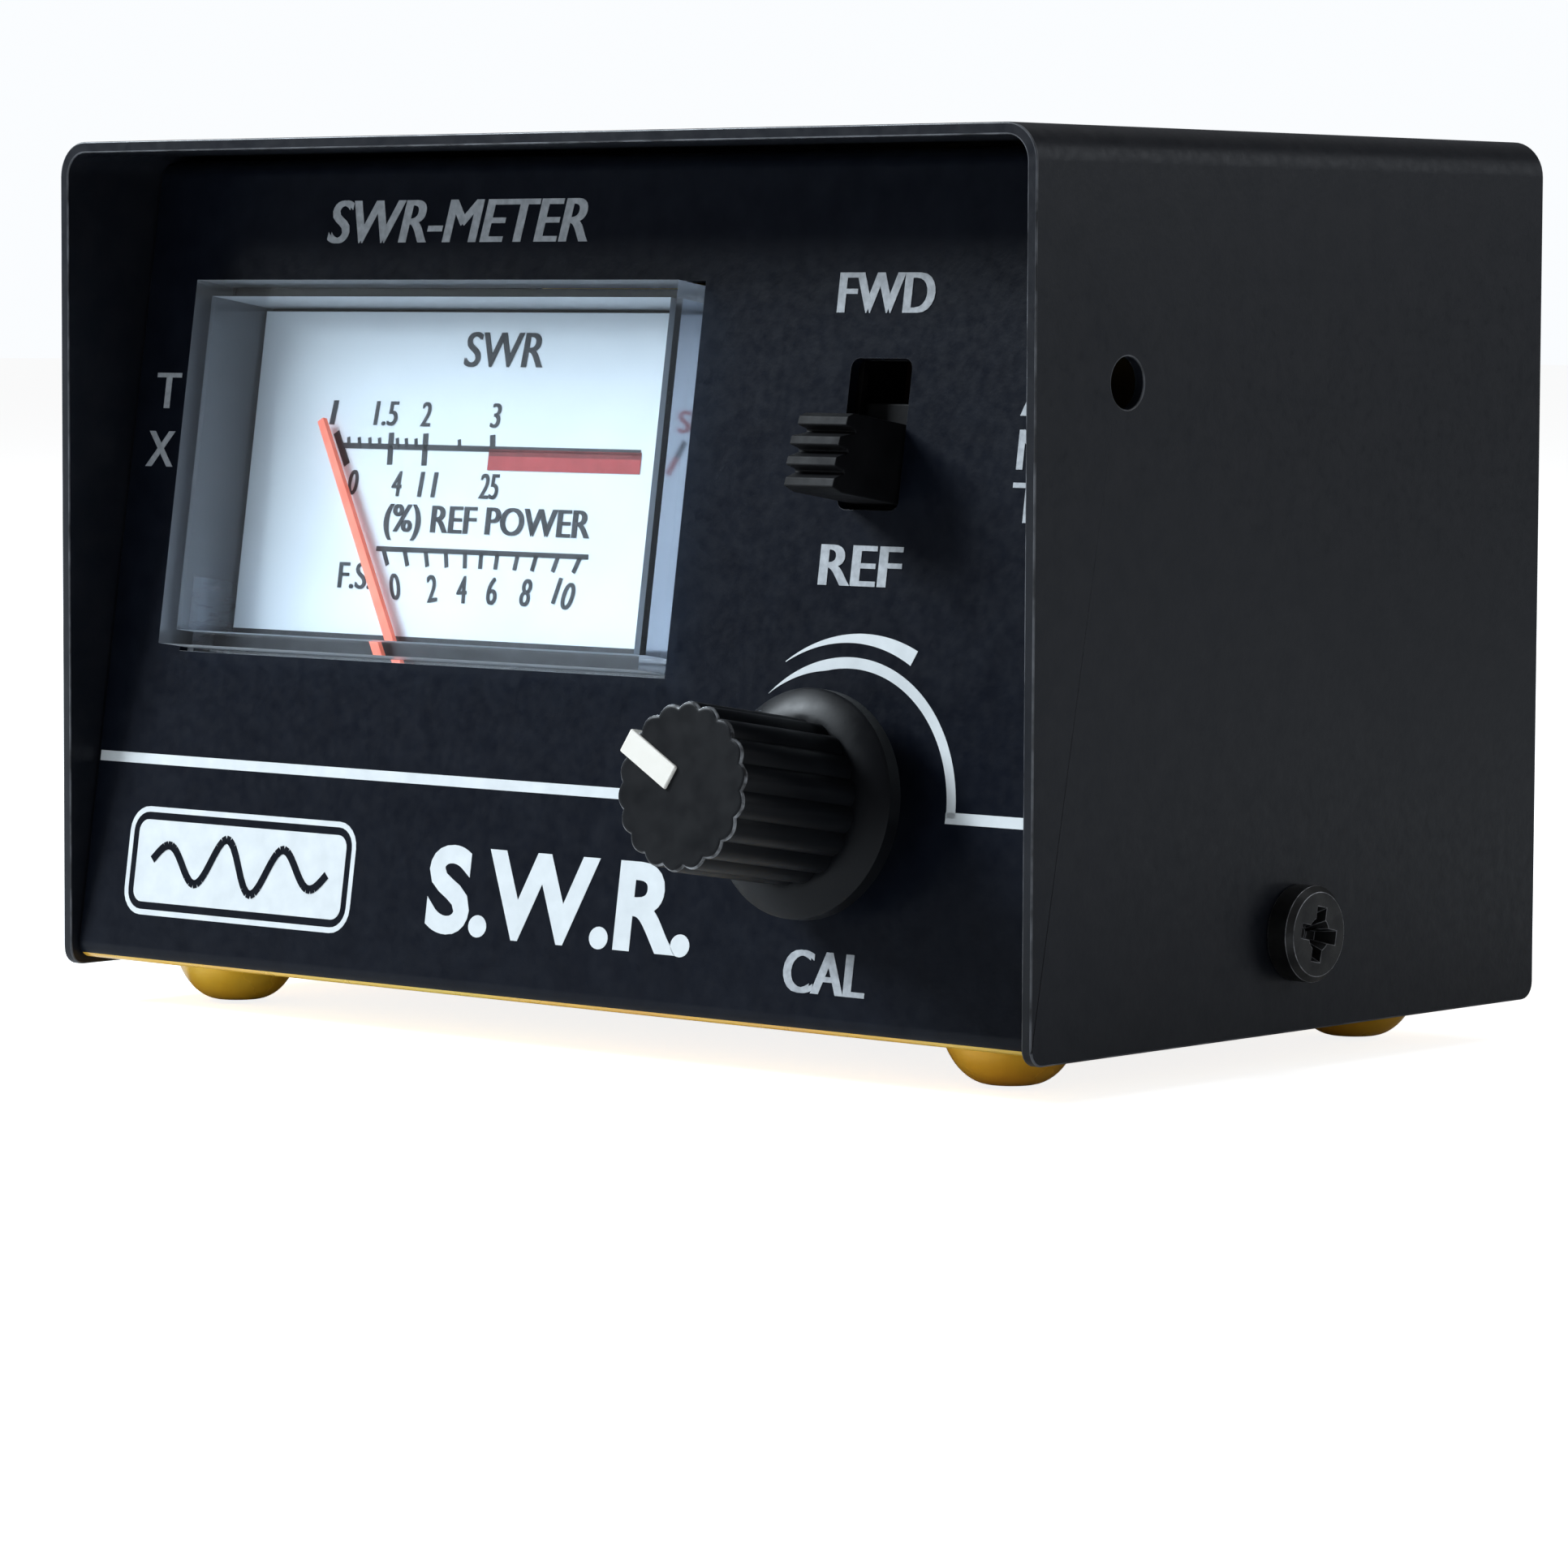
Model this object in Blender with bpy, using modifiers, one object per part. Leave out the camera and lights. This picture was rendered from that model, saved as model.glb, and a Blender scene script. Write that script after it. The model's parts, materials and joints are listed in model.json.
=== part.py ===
"""SWR meter for amateur radio: steel cover and chassis, a moving-coil panel meter, a slide switch,
a calibration knob on its potentiometer, a line coupler and two rear coax sockets.

World: metres, +Z up, the front faces -Y. Z = 0 is where the feet rest. Panel pieces hang on an empty
whose X runs across the leaning panel, Y up it and Z out of it, so they are placed as (across, up, out).
"""
import math

import bmesh
import bpy
from mathutils import Matrix, Vector

MM = 0.001

# ------------------------------------------------------------------ driving dimensions
GAP = 0.3 * MM                  # between pieces that touch or pass
SEAT = 0.1 * MM                 # between pieces pressed or glued together

CASE_WIDTH = 91.3 * MM
CASE_DEPTH = 56.0 * MM
CASE_HEIGHT = 60.0 * MM
SHEET = 0.8 * MM
COVER_BEND = 2.5 * MM
COVER_CORNER = 1.2 * MM
CHASSIS_BEND = 1.3 * MM
FOOT_DROP = 2.5 * MM            # cover's lower edge above the table
FOOT_BASE = 4.5 * MM            # radii of a pressed foot
FOOT_CROWN = 1.5 * MM
FOOT_INSET = 9.0 * MM

PANEL_TILT = math.radians(8.6)
PANEL_INSET = 0.3 * MM
PLATE_RISE = 0.55 * MM          # chassis bottom above the cover's lower edge
TOP_GAP = 0.4 * MM
REAR_INSET = 2.0 * MM
FRONT_FLANGE = 8.0 * MM
REAR_FLANGE = 6.0 * MM

SCREW_HEAD = 3.25 * MM
SCREW_HEAD_HEIGHT = 1.9 * MM
SCREW_SHANK = 1.5 * MM
SCREW_LENGTH = 6.0 * MM
SCREW_UP = 6.7 * MM
SIDE_HOLE = 1.7 * MM
SIDE_HOLE_BACK = 9.4 * MM
SIDE_HOLE_UP = 43.5 * MM
LUG_WIDTH = 12.0 * MM
LUG_HEIGHT = 13.0 * MM

METER_MARGIN = 8.65 * MM        # meter to the case's left edge
METER_DROP = 9.7 * MM           # meter to the case's top
METER_WIDTH = 47.2 * MM
METER_HEIGHT = 46.1 * MM
WINDOW_HEIGHT = 26.5 * MM
WINDOW_PROUD = 2.4 * MM
LENS_FRONT = 1.2 * MM
LENS_WALL = 1.1 * MM
LENS_BACK = -5.0 * MM
METER_DEPTH = 15.0 * MM         # panel face to the back of the meter's case
CASE_WALL = 1.2 * MM
DIAL_FACE = -4.1 * MM
DIAL_SHEET = 0.5 * MM
DIAL_HIDDEN = 3.3 * MM          # dial below the window's sill
PIVOT_ASIDE = 2.5 * MM          # needle's axis right of the meter's middle
PIVOT_RISE = 8.0 * MM           # and above its lower edge
TIP_DROP = 4.7 * MM             # upright needle's tip below the meter's top
NEEDLE_WIDTH = 0.85 * MM
NEEDLE_SHEET = 0.4 * MM
NEEDLE_REST = math.radians(30.7)
YOKE_OUTER = 6.3 * MM
YOKE_WALL = 1.5 * MM
YOKE_DEPTH = 4.0 * MM
YOKE_FACE = -7.4 * MM
BRIDGE_WIDTH = 2.6 * MM
CORE_RADIUS = 3.2 * MM
COIL_WIRE = 0.8 * MM
COIL_SIDE = 1.6 * MM
STAFF_RADIUS = 0.35 * MM
JEWEL_RADIUS = 1.2 * MM
SPRING_TURNS = 2.5
SPRING_WIRE = 0.12 * MM
STUD_RADIUS = 1.4 * MM
STUD_SPREAD = 20.0 * MM
STUD_DROP = 12.3 * MM
STUD_FLANGE = 2.4 * MM
STUD_NUT = 2.8 * MM
STUD_LENGTH = 6.5 * MM
CLIP_EAR = 4.5 * MM
CLIP_WIDTH = 7.0 * MM
CLIP_DROP = 28.3 * MM

CONTROL_MARGIN = 18.75 * MM     # switch and knob to the case's right edge
SLOT_DROP = 19.6 * MM           # slot's middle below the case's top
SLIDER_WIDTH = 4.3 * MM
SLOT_PLAY = 0.5 * MM             # between the slider and each edge of its slot
SLOT_CORNER = 0.7 * MM
SLIDER_HEIGHT = 5.3 * MM
SLIDER_TRAVEL = 3.8 * MM
SLIDER_PROUD = 6.1 * MM
SLIDER_RIDGES = 4
SLIDER_BLOCK = 2.6 * MM
SWITCH_WIDTH = 8.6 * MM
SWITCH_LENGTH = 17.0 * MM
SWITCH_SHEET = 0.5 * MM
SWITCH_BEND = 0.7 * MM
SWITCH_BACK = -8.0 * MM
PIN_WIDTH = 1.0 * MM
PIN_SHEET = 0.5 * MM
PIN_PITCH = 4.7 * MM

KNOB_UP = 15.6 * MM
KNOB_BACK = 2.4 * MM
KNOB_FACE = 15.35 * MM
KNOB_RADIUS = 5.5 * MM
KNOB_FLUTES = 18
FLUTE_DEPTH = 0.35 * MM
SKIRT_RADIUS = 7.6 * MM
SKIRT_RIM = 1.3 * MM
SKIRT_CONE = 0.8 * MM
MARKER_WIDTH = 1.7 * MM
MARKER_LENGTH = 4.8 * MM
MARKER_DEPTH = 1.2 * MM
MARKER_PROUD = 0.2 * MM
MARKER_REST = math.radians(61.5)
POT_RADIUS = 8.2 * MM
POT_DEPTH = 7.5 * MM
POT_PIN_PITCH = 5.0 * MM
POT_PIN_DROP = 5.5 * MM         # pins below the shaft
WIPER_LENGTH = 8.0 * MM
SHAFT_RADIUS = 2.5 * MM
BUSHING_RADIUS = SHAFT_RADIUS + 1.0 * MM
BUSHING_END = 4.5 * MM
SHAFT_END = 12.8 * MM
NUT_FLATS = 9.5 * MM
NUT_DEPTH = 1.8 * MM
BOARD = 1.6 * MM
BOARD_FACE = -9.6 * MM
BOARD_MARGIN = 3.25 * MM        # control board to the case's right edge

SOCKET_SPREAD = 50.0 * MM
SOCKET_UP = 30.0 * MM
SOCKET_FLANGE = 25.4 * MM
SOCKET_SHEET = 1.6 * MM
SOCKET_RADIUS = 7.9 * MM
SOCKET_BORE = 6.2 * MM
SOCKET_LENGTH = 12.8 * MM
SOCKET_HOLE = 5.6 * MM
CONTACT_RADIUS = 2.4 * MM
CONTACT_BORE = 1.9 * MM
CONTACT_TAIL = 1.2 * MM
RIVET_OFFSET = 9.15 * MM
RIVET_SHANK = 1.5 * MM
COUPLER_BACK = 9.0 * MM         # coupler board behind the rear panel
COUPLER_MARGIN = 8.0 * MM       # board beyond the sockets' axes
COUPLER_HEIGHT = 26.0 * MM
TRACK = 0.3 * MM
SENSE_LENGTH = 36.0 * MM
PART_SPREAD = 8.0 * MM          # diodes and resistors above and below the line
PART_ASIDE = 12.0 * MM          # and to each side of the middle
TAIL = 0.3 * MM                 # radius of their wires
LEAD_RADIUS = 0.6 * MM

DRILL = 6.0 * MM                # depth of a cut through one sheet or wall
ROUND = 32                      # steps round a large turned piece
SMALL = 16

# ------------------------------------------------------------------ derived sizes
UP_SIN = math.sin(PANEL_TILT)
UP_COS = math.cos(PANEL_TILT)
KNOB_REACH = (KNOB_FACE + MARKER_PROUD) * UP_COS + KNOB_RADIUS * UP_SIN
FRONT_REACH = KNOB_REACH - PANEL_INSET - KNOB_UP * UP_SIN
REAR_REACH = SOCKET_SHEET + SEAT + SOCKET_LENGTH - REAR_INSET
FRONT_Y = (FRONT_REACH - CASE_DEPTH - REAR_REACH) / 2
REAR_Y = FRONT_Y + CASE_DEPTH - REAR_INSET
PLATE_Z = FOOT_DROP + PLATE_RISE
TOP_Z = FOOT_DROP + CASE_HEIGHT - SHEET - TOP_GAP
CHASSIS_WIDTH = CASE_WIDTH - 2 * SHEET - 2 * GAP
METER_X = METER_MARGIN + METER_WIDTH / 2 - CASE_WIDTH / 2
METER_TOP = CASE_HEIGHT - METER_DROP
METER_BOTTOM = METER_TOP - METER_HEIGHT
WINDOW_SILL = METER_TOP - WINDOW_HEIGHT
DIAL_HEIGHT = WINDOW_HEIGHT - LENS_WALL - GAP + DIAL_HIDDEN
PIVOT_X = METER_X + PIVOT_ASIDE
PIVOT_UP = METER_BOTTOM + PIVOT_RISE
NEEDLE_LENGTH = METER_TOP - TIP_DROP - PIVOT_UP
STUD_UP = METER_TOP - STUD_DROP
CLIP_UP = METER_TOP - CLIP_DROP
CONTROL_X = CASE_WIDTH / 2 - CONTROL_MARGIN
SLOT_UP = CASE_HEIGHT - SLOT_DROP
COUPLER_WIDTH = SOCKET_SPREAD + 2 * COUPLER_MARGIN
PANEL_BACK = -SHEET - GAP       # where a piece behind the panel may begin
SLOT_WIDTH = SLIDER_WIDTH + 2 * SLOT_PLAY
SLOT_HEIGHT = SLIDER_HEIGHT + SLIDER_TRAVEL + 2 * SLOT_PLAY
SLIDER_REST = SLOT_UP - SLIDER_TRAVEL / 2
COIL_HALF = CORE_RADIUS + 1.2 * MM
YOKE_BACK = YOKE_FACE - YOKE_DEPTH
BRIDGE_FACE = YOKE_FACE + 2.0 * MM
PIN_END = BOARD_FACE - BOARD - 1.0 * MM     # where the soldered pins stop behind the board


def panel_point(across, up, out):
    """World place of a point given across, up and out of the leaning panel."""
    return Vector((across, FRONT_Y + PANEL_INSET + up * UP_SIN - out * UP_COS,
                   FOOT_DROP + up * UP_COS + out * UP_SIN))


# ------------------------------------------------------------------ materials and collections
def material(name, colour, roughness, metallic=0.0):
    made = bpy.data.materials.new(name)
    made.use_nodes = True
    shader = made.node_tree.nodes["Principled BSDF"]
    shader.inputs["Base Color"].default_value = (*colour, 1.0)
    shader.inputs["Roughness"].default_value = roughness
    shader.inputs["Metallic"].default_value = metallic
    return made


for leftover in list(bpy.data.objects):
    bpy.data.objects.remove(leftover, do_unlink=True)

PARTS = bpy.data.collections.new("swr_meter")
TOOLS = bpy.data.collections.new("swr_meter_tools")
bpy.context.scene.collection.children.link(PARTS)
bpy.context.scene.collection.children.link(TOOLS)

BLACK_PAINT = material("black_paint", (0.012, 0.013, 0.016), 0.42)
PASSIVATED = material("yellow_passivated_zinc", (0.72, 0.52, 0.16), 0.32, 1.0)
BLACK_STEEL = material("black_oxide_steel", (0.03, 0.03, 0.032), 0.35, 0.8)
CLEAR = material("clear_styrene", (0.86, 0.9, 0.92), 0.06)
BLACK_PLASTIC = material("black_plastic", (0.016, 0.016, 0.018), 0.45)
DIAL_WHITE = material("dial_white", (0.82, 0.85, 0.9), 0.5)
NEEDLE_RED = material("needle_red", (0.85, 0.09, 0.05), 0.45)
IRON = material("soft_iron", (0.34, 0.34, 0.35), 0.4, 1.0)
BRASS = material("brass", (0.72, 0.52, 0.2), 0.3, 1.0)
COPPER = material("enamelled_copper", (0.55, 0.2, 0.08), 0.35, 1.0)
STEEL = material("bright_steel", (0.62, 0.63, 0.65), 0.28, 1.0)
PHENOLIC = material("brown_phenolic", (0.2, 0.09, 0.04), 0.55)
MARKER_WHITE = material("marker_white", (0.86, 0.86, 0.84), 0.4)
BOARD_TAN = material("board_tan", (0.42, 0.28, 0.12), 0.5)
NICKEL = material("nickel_plate", (0.68, 0.66, 0.6), 0.22, 1.0)
INSULATOR = material("ptfe_white", (0.85, 0.84, 0.8), 0.45)
GLASS_ORANGE = material("diode_glass", (0.75, 0.28, 0.08), 0.12)
RESISTOR_BEIGE = material("resistor_beige", (0.72, 0.58, 0.38), 0.5)
CERAMIC = material("ceramic_ochre", (0.66, 0.36, 0.12), 0.5)
RED_PVC = material("red_pvc", (0.6, 0.03, 0.02), 0.45)
BLACK_PVC = material("black_pvc", (0.02, 0.02, 0.02), 0.45)
BLUE_PVC = material("blue_pvc", (0.03, 0.12, 0.5), 0.45)
YELLOW_PVC = material("yellow_pvc", (0.75, 0.55, 0.05), 0.45)


# ------------------------------------------------------------------ modelling helpers
def place(name, mesh, finish=None, parent=None, at=(0, 0, 0), turn=(0, 0, 0)):
    """A named object in the parts collection, or in the tools when it has no finish."""
    made = bpy.data.objects.new(name, mesh)
    if finish is None:
        TOOLS.objects.link(made)
        made.hide_render = True
        made.display_type = "WIRE"
    else:
        PARTS.objects.link(made)
        mesh.materials.append(finish)
    made.parent = parent
    made.location = at
    made.rotation_euler = turn
    return made


def mesh_of(shape, name):
    bmesh.ops.recalc_face_normals(shape, faces=shape.faces)
    mesh = bpy.data.meshes.new(name)
    shape.to_mesh(mesh)
    shape.free()
    return mesh


def block(name, low, high, finish=None, parent=None):
    """A box from its lowest to its highest corner; its object sits at the box's centre."""
    low = Vector(low)
    high = Vector(high)
    shape = bmesh.new()
    bmesh.ops.create_cube(shape, size=1.0, matrix=Matrix.Diagonal((*(high - low), 1.0)))
    return place(name, mesh_of(shape, name), finish, parent, (low + high) / 2)


def turned(name, profile, finish=None, parent=None, at=(0, 0, 0), turn=(0, 0, 0), steps=ROUND, ring=False):
    """A solid turned about its own Z from (radius, height) points running down the outer side."""
    shape = bmesh.new()
    points = [shape.verts.new((radius, 0.0, height)) for radius, height in profile]
    for first, second in zip(points, points[1:]):
        shape.edges.new((first, second))
    if ring:
        shape.edges.new((points[-1], points[0]))
    mesh = bpy.data.meshes.new(name)
    shape.to_mesh(mesh)
    shape.free()
    made = place(name, mesh, finish, parent, at, turn)
    screw = made.modifiers.new("turn", "SCREW")
    screw.steps = steps
    screw.render_steps = steps
    screw.use_merge_vertices = True
    screw.merge_threshold = 0.00001
    screw.use_smooth_shade = True
    return made


def rod(name, radius, low, high, finish=None, parent=None, at=(0, 0), turn=(0, 0, 0), steps=SMALL):
    """A plain cylinder along the panel's out direction, from low to high."""
    profile = [(0, high), (radius, high), (radius, low), (0, low)]
    return turned(name, profile, finish, parent, (at[0], at[1], 0), turn, steps)


def pipe_profile(outer, inner, low, high):
    return [(outer, high), (outer, low), (inner, low), (inner, high)]


def outline_mesh(name, rings, thickness):
    """A flat outline, with its holes, as a welded solid in XY, centred on Z = 0."""
    curve = bpy.data.curves.new(name, "CURVE")
    curve.dimensions = "2D"
    curve.fill_mode = "BOTH"
    curve.extrude = thickness / 2
    for ring in rings:
        spline = curve.splines.new("POLY")
        spline.points.add(len(ring) - 1)
        for point, (across, up) in zip(spline.points, ring):
            point.co = (across, up, 0.0, 1.0)
        spline.use_cyclic_u = True
    holder = bpy.data.objects.new(name, curve)
    TOOLS.objects.link(holder)
    bpy.context.view_layer.update()
    ready = holder.evaluated_get(bpy.context.evaluated_depsgraph_get())
    mesh = bpy.data.meshes.new_from_object(ready)
    bpy.data.objects.remove(holder, do_unlink=True)
    bpy.data.curves.remove(curve)
    shape = bmesh.new()
    shape.from_mesh(mesh)
    bmesh.ops.remove_doubles(shape, verts=shape.verts, dist=0.000001)
    bmesh.ops.recalc_face_normals(shape, faces=shape.faces)
    shape.to_mesh(mesh)
    shape.free()
    return mesh


def rounded(corners, radius, steps=5, closed=True):
    """The corners of a path with each one replaced by an arc of the given radius."""
    path = []
    count = len(corners)
    for index, corner in enumerate(corners):
        corner = Vector(corner)
        if not closed and index in (0, count - 1):
            path.append(tuple(corner))
            continue
        before = (Vector(corners[index - 1]) - corner).normalized()
        after = (Vector(corners[(index + 1) % count]) - corner).normalized()
        half = before.angle(after) / 2
        middle = corner + (before + after).normalized() * radius / math.sin(half)
        start = corner + before * radius / math.tan(half) - middle
        sweep = start.angle_signed(corner + after * radius / math.tan(half) - middle)
        for step in range(steps + 1):
            spin = Matrix.Rotation(-sweep * step / steps, 2)
            path.append(tuple(middle + spin @ start))
    return path


def rectangle(width, height, centre=(0, 0)):
    across, up = centre
    return [(across - width / 2, up - height / 2), (across + width / 2, up - height / 2),
            (across + width / 2, up + height / 2), (across - width / 2, up + height / 2)]


def circle(radius, centre=(0, 0), steps=SMALL):
    across, up = centre
    angles = [2 * math.pi * step / steps for step in range(steps)]
    return [(across + radius * math.cos(angle), up + radius * math.sin(angle)) for angle in angles]


def folded(name, path, run, finish, thickness, along):
    """Sheet metal: an open path, given in metres as 3-D points, drawn out along a vector and thickened."""
    shape = bmesh.new()
    points = [shape.verts.new(point) for point in path]
    edges = [shape.edges.new(pair) for pair in zip(points, points[1:])]
    drawn = bmesh.ops.extrude_edge_only(shape, edges=edges)
    moved = [item for item in drawn["geom"] if isinstance(item, bmesh.types.BMVert)]
    bmesh.ops.translate(shape, vec=Vector(along) * run, verts=moved)
    mesh = bpy.data.meshes.new(name)
    shape.to_mesh(mesh)
    shape.free()
    made = place(name, mesh, finish)
    wall = made.modifiers.new("sheet", "SOLIDIFY")
    wall.thickness = thickness
    wall.use_even_offset = True
    return made, wall


def combine(made, tool, operation="DIFFERENCE"):
    step = made.modifiers.new(tool.name, "BOOLEAN")
    step.operation = operation
    step.object = tool
    return made


def drill(made, name, radius, at, turn=(0, 0, 0), parent=None, length=DRILL, steps=24):
    profile = [(0, length / 2), (radius, length / 2), (radius, -length / 2), (0, -length / 2)]
    return combine(made, turned(name + "_cut", profile, None, parent, at, turn, steps))


def smooth_path(route, per_span=4):
    """Points on one smooth curve through a route chosen by hand."""
    route = [Vector(point) for point in route]
    ends = [2 * route[0] - route[1]] + route + [2 * route[-1] - route[-2]]
    path = []
    for index in range(1, len(ends) - 2):
        before, start, stop, after = ends[index - 1:index + 3]
        for step in range(per_span):
            share = step / per_span
            path.append(0.5 * (2 * start + (stop - before) * share
                               + (2 * before - 5 * start + 4 * stop - after) * share ** 2
                               + (3 * start - before - 3 * stop + after) * share ** 3))
    return path + [route[-1]]


def wire(name, route, radius, finish, parent=None, smooth=True):
    """A round wire through the route's points, with closed ends."""
    path = smooth_path(route) if smooth else [Vector(point) for point in route]
    curve = bpy.data.curves.new(name, "CURVE")
    curve.dimensions = "3D"
    curve.bevel_depth = radius
    curve.bevel_resolution = 2
    curve.use_fill_caps = True
    spline = curve.splines.new("POLY")
    spline.points.add(len(path) - 1)
    for point, place_at in zip(spline.points, path):
        point.co = (*place_at, 1.0)
    made = bpy.data.objects.new(name, curve)
    PARTS.objects.link(made)
    curve.materials.append(finish)
    made.parent = parent
    return made


# ------------------------------------------------------------------ frames that pieces hang on
PANEL = bpy.data.objects.new("panel_frame", None)
PARTS.objects.link(PANEL)
PANEL.location = panel_point(0, 0, 0)
PANEL.rotation_euler = (math.pi / 2 - PANEL_TILT, 0, 0)

REAR = bpy.data.objects.new("rear_frame", None)     # X across, Y up, Z out of the rear panel
PARTS.objects.link(REAR)
REAR.location = (0, REAR_Y, FOOT_DROP)
REAR.rotation_euler = (math.pi / 2, 0, math.pi)

SIDEWAYS = (0, math.pi / 2, 0)


# ------------------------------------------------------------------ cover and chassis
def make_cover():
    half = CASE_WIDTH / 2
    base = FOOT_DROP
    corners = [(-half, base), (-half, base + CASE_HEIGHT), (half, base + CASE_HEIGHT), (half, base)]
    bend = rounded(corners, COVER_BEND, closed=False)
    path = [(across, FRONT_Y, up) for across, up in bend]
    cover, wall = folded("cover", path, CASE_DEPTH, BLACK_PAINT, SHEET, (0, 1, 0))
    wall.offset = 1
    shape = bmesh.new()
    shape.from_mesh(cover.data)
    tips = [vert for vert in shape.verts if vert.co.z < base + GAP]
    bmesh.ops.bevel(shape, geom=tips, offset=COVER_CORNER, segments=4, affect="VERTICES", profile=0.5)
    shape.to_mesh(cover.data)
    shape.free()
    hole = (0, FRONT_Y + SIDE_HOLE_BACK, base + SIDE_HOLE_UP)
    screw = (0, FRONT_Y + CASE_DEPTH / 2, base + SCREW_UP)
    drill(cover, "side_hole", SIDE_HOLE, hole, SIDEWAYS, length=CASE_WIDTH * 1.2)
    drill(cover, "screw_hole", SCREW_SHANK + GAP, screw, SIDEWAYS, length=CASE_WIDTH * 1.2)


def foot_profile(base, crown, top, low, steps=4):
    """A flared dome: level where it leaves the plate and level again at the crown."""
    profile = [(0, top), (base, top)]
    for step in range(1, steps + 1):
        share = step / steps
        profile.append((base + (crown - base) * share, top + (low - top) * math.sin(share * math.pi / 2)))
    return profile + [(0, low)]


def make_chassis():
    top_up = (TOP_Z - FOOT_DROP) / UP_COS
    low_up = PLATE_RISE / UP_COS
    front_top = panel_point(0, top_up, 0).y
    front_low = panel_point(0, low_up, 0).y
    corners = [(front_top + FRONT_FLANGE, TOP_Z), (front_top, TOP_Z), (front_low, PLATE_Z),
               (REAR_Y, PLATE_Z), (REAR_Y, TOP_Z), (REAR_Y - REAR_FLANGE, TOP_Z)]
    bend = rounded(corners, CHASSIS_BEND, closed=False)
    path = [(-CHASSIS_WIDTH / 2, back, up) for back, up in bend]
    chassis, wall = folded("chassis", path, CHASSIS_WIDTH, PASSIVATED, SHEET, (1, 0, 0))
    wall.offset = 1
    tall = TOP_Z + FOOT_DROP
    room = rounded(rectangle(CHASSIS_WIDTH, tall, (0, TOP_Z - tall / 2)), COVER_BEND)
    trim = place("corner_trim", outline_mesh("corner_trim", [room], 2 * CASE_DEPTH), None, None,
                 (0, FRONT_Y + CASE_DEPTH / 2, 0), (math.pi / 2, 0, 0))
    combine(chassis, trim, "INTERSECT")
    middle = FRONT_Y + CASE_DEPTH / 2
    for side, name in ((1, "right"), (-1, "left")):
        outer = side * CHASSIS_WIDTH / 2
        inner = side * (CHASSIS_WIDTH / 2 - SHEET)
        low = (min(outer, inner), middle - LUG_WIDTH / 2, PLATE_Z)
        high = (max(outer, inner), middle + LUG_WIDTH / 2, PLATE_Z + LUG_HEIGHT)
        combine(chassis, block("lug_" + name, low, high), "UNION")
        for depth, end in ((FOOT_INSET, "front"), (CASE_DEPTH - FOOT_INSET, "rear")):
            at = (side * (CASE_WIDTH / 2 - FOOT_INSET), FRONT_Y + depth, 0)
            outside = foot_profile(FOOT_BASE, FOOT_CROWN, PLATE_Z + SHEET / 2, 0)
            inside = foot_profile(FOOT_BASE - SHEET, FOOT_CROWN - SHEET / 2, PLATE_Z + 2 * SHEET, SHEET)
            tag = "_" + end + "_" + name
            combine(chassis, turned("foot" + tag, outside, None, None, at, steps=20), "UNION")
            combine(chassis, turned("dimple" + tag, inside, None, None, at, steps=20))
    screw = (0, middle, FOOT_DROP + SCREW_UP)
    drill(chassis, "lug_hole", SCREW_SHANK + GAP, screw, SIDEWAYS, length=CASE_WIDTH * 1.2)
    window = rectangle(METER_WIDTH + 2 * GAP, WINDOW_HEIGHT + 2 * GAP,
                       (METER_X, (METER_TOP + WINDOW_SILL) / 2))
    slot = rounded(rectangle(SLOT_WIDTH, SLOT_HEIGHT, (CONTROL_X, SLOT_UP)), SLOT_CORNER, 3)
    for name, ring in (("window_cut", window), ("slot_cut", slot)):
        combine(chassis, place(name, outline_mesh(name, [ring], DRILL), None, PANEL))
    drill(chassis, "bushing_hole", BUSHING_RADIUS + GAP, (CONTROL_X, KNOB_UP, 0), parent=PANEL)
    for side in (-1, 1):
        centre = (side * SOCKET_SPREAD / 2, SOCKET_UP, 0)
        drill(chassis, "socket_hole", SOCKET_HOLE + GAP, centre, parent=REAR)
        for turn in (-1, 1):
            at = (centre[0] + turn * RIVET_OFFSET, centre[1] + turn * RIVET_OFFSET, 0)
            drill(chassis, "rivet_hole", RIVET_SHANK + GAP, at, parent=REAR, steps=SMALL)


def make_cover_screw(name, side):
    """A pan head screw with a cross recess, pointing into the case."""
    head = [(0, SCREW_HEAD_HEIGHT), (SCREW_HEAD * 0.55, SCREW_HEAD_HEIGHT)]
    for step in range(1, 5):
        angle = step / 4 * math.pi / 2
        head.append((SCREW_HEAD * (0.55 + 0.45 * math.sin(angle)),
                     SCREW_HEAD_HEIGHT * (0.4 + 0.6 * math.cos(angle))))
    head += [(SCREW_HEAD, 0), (SCREW_SHANK, 0), (SCREW_SHANK, -SCREW_LENGTH), (0, -SCREW_LENGTH)]
    at = Vector((side * (CASE_WIDTH / 2 + SEAT), FRONT_Y + CASE_DEPTH / 2, FOOT_DROP + SCREW_UP))
    turn = (0, side * math.pi / 2, 0)
    screw = turned(name, head, BLACK_STEEL, None, at, turn)
    long_arm = SCREW_HEAD * 0.6
    short_arm = SCREW_HEAD * 0.16
    floor = SCREW_HEAD_HEIGHT * 0.35
    for tag, across, up in (("_cross_a", long_arm, short_arm), ("_cross_b", short_arm, long_arm)):
        slot = block(name + tag, (-across, -up, floor), (across, up, SCREW_HEAD_HEIGHT * 2))
        slot.location = (0, 0, (floor + SCREW_HEAD_HEIGHT * 2) / 2)
        slot.parent = screw
        combine(screw, slot)


# ------------------------------------------------------------------ panel meter
def meter_box(name, inset, low, high, bottom, finish=None):
    """A box on the meter's outline, drawn in by an inset, from bottom up to the meter's top."""
    half = METER_WIDTH / 2 - inset
    return block(name, (METER_X - half, bottom + inset, low), (METER_X + half, METER_TOP - inset, high),
                 finish, PANEL)


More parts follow.
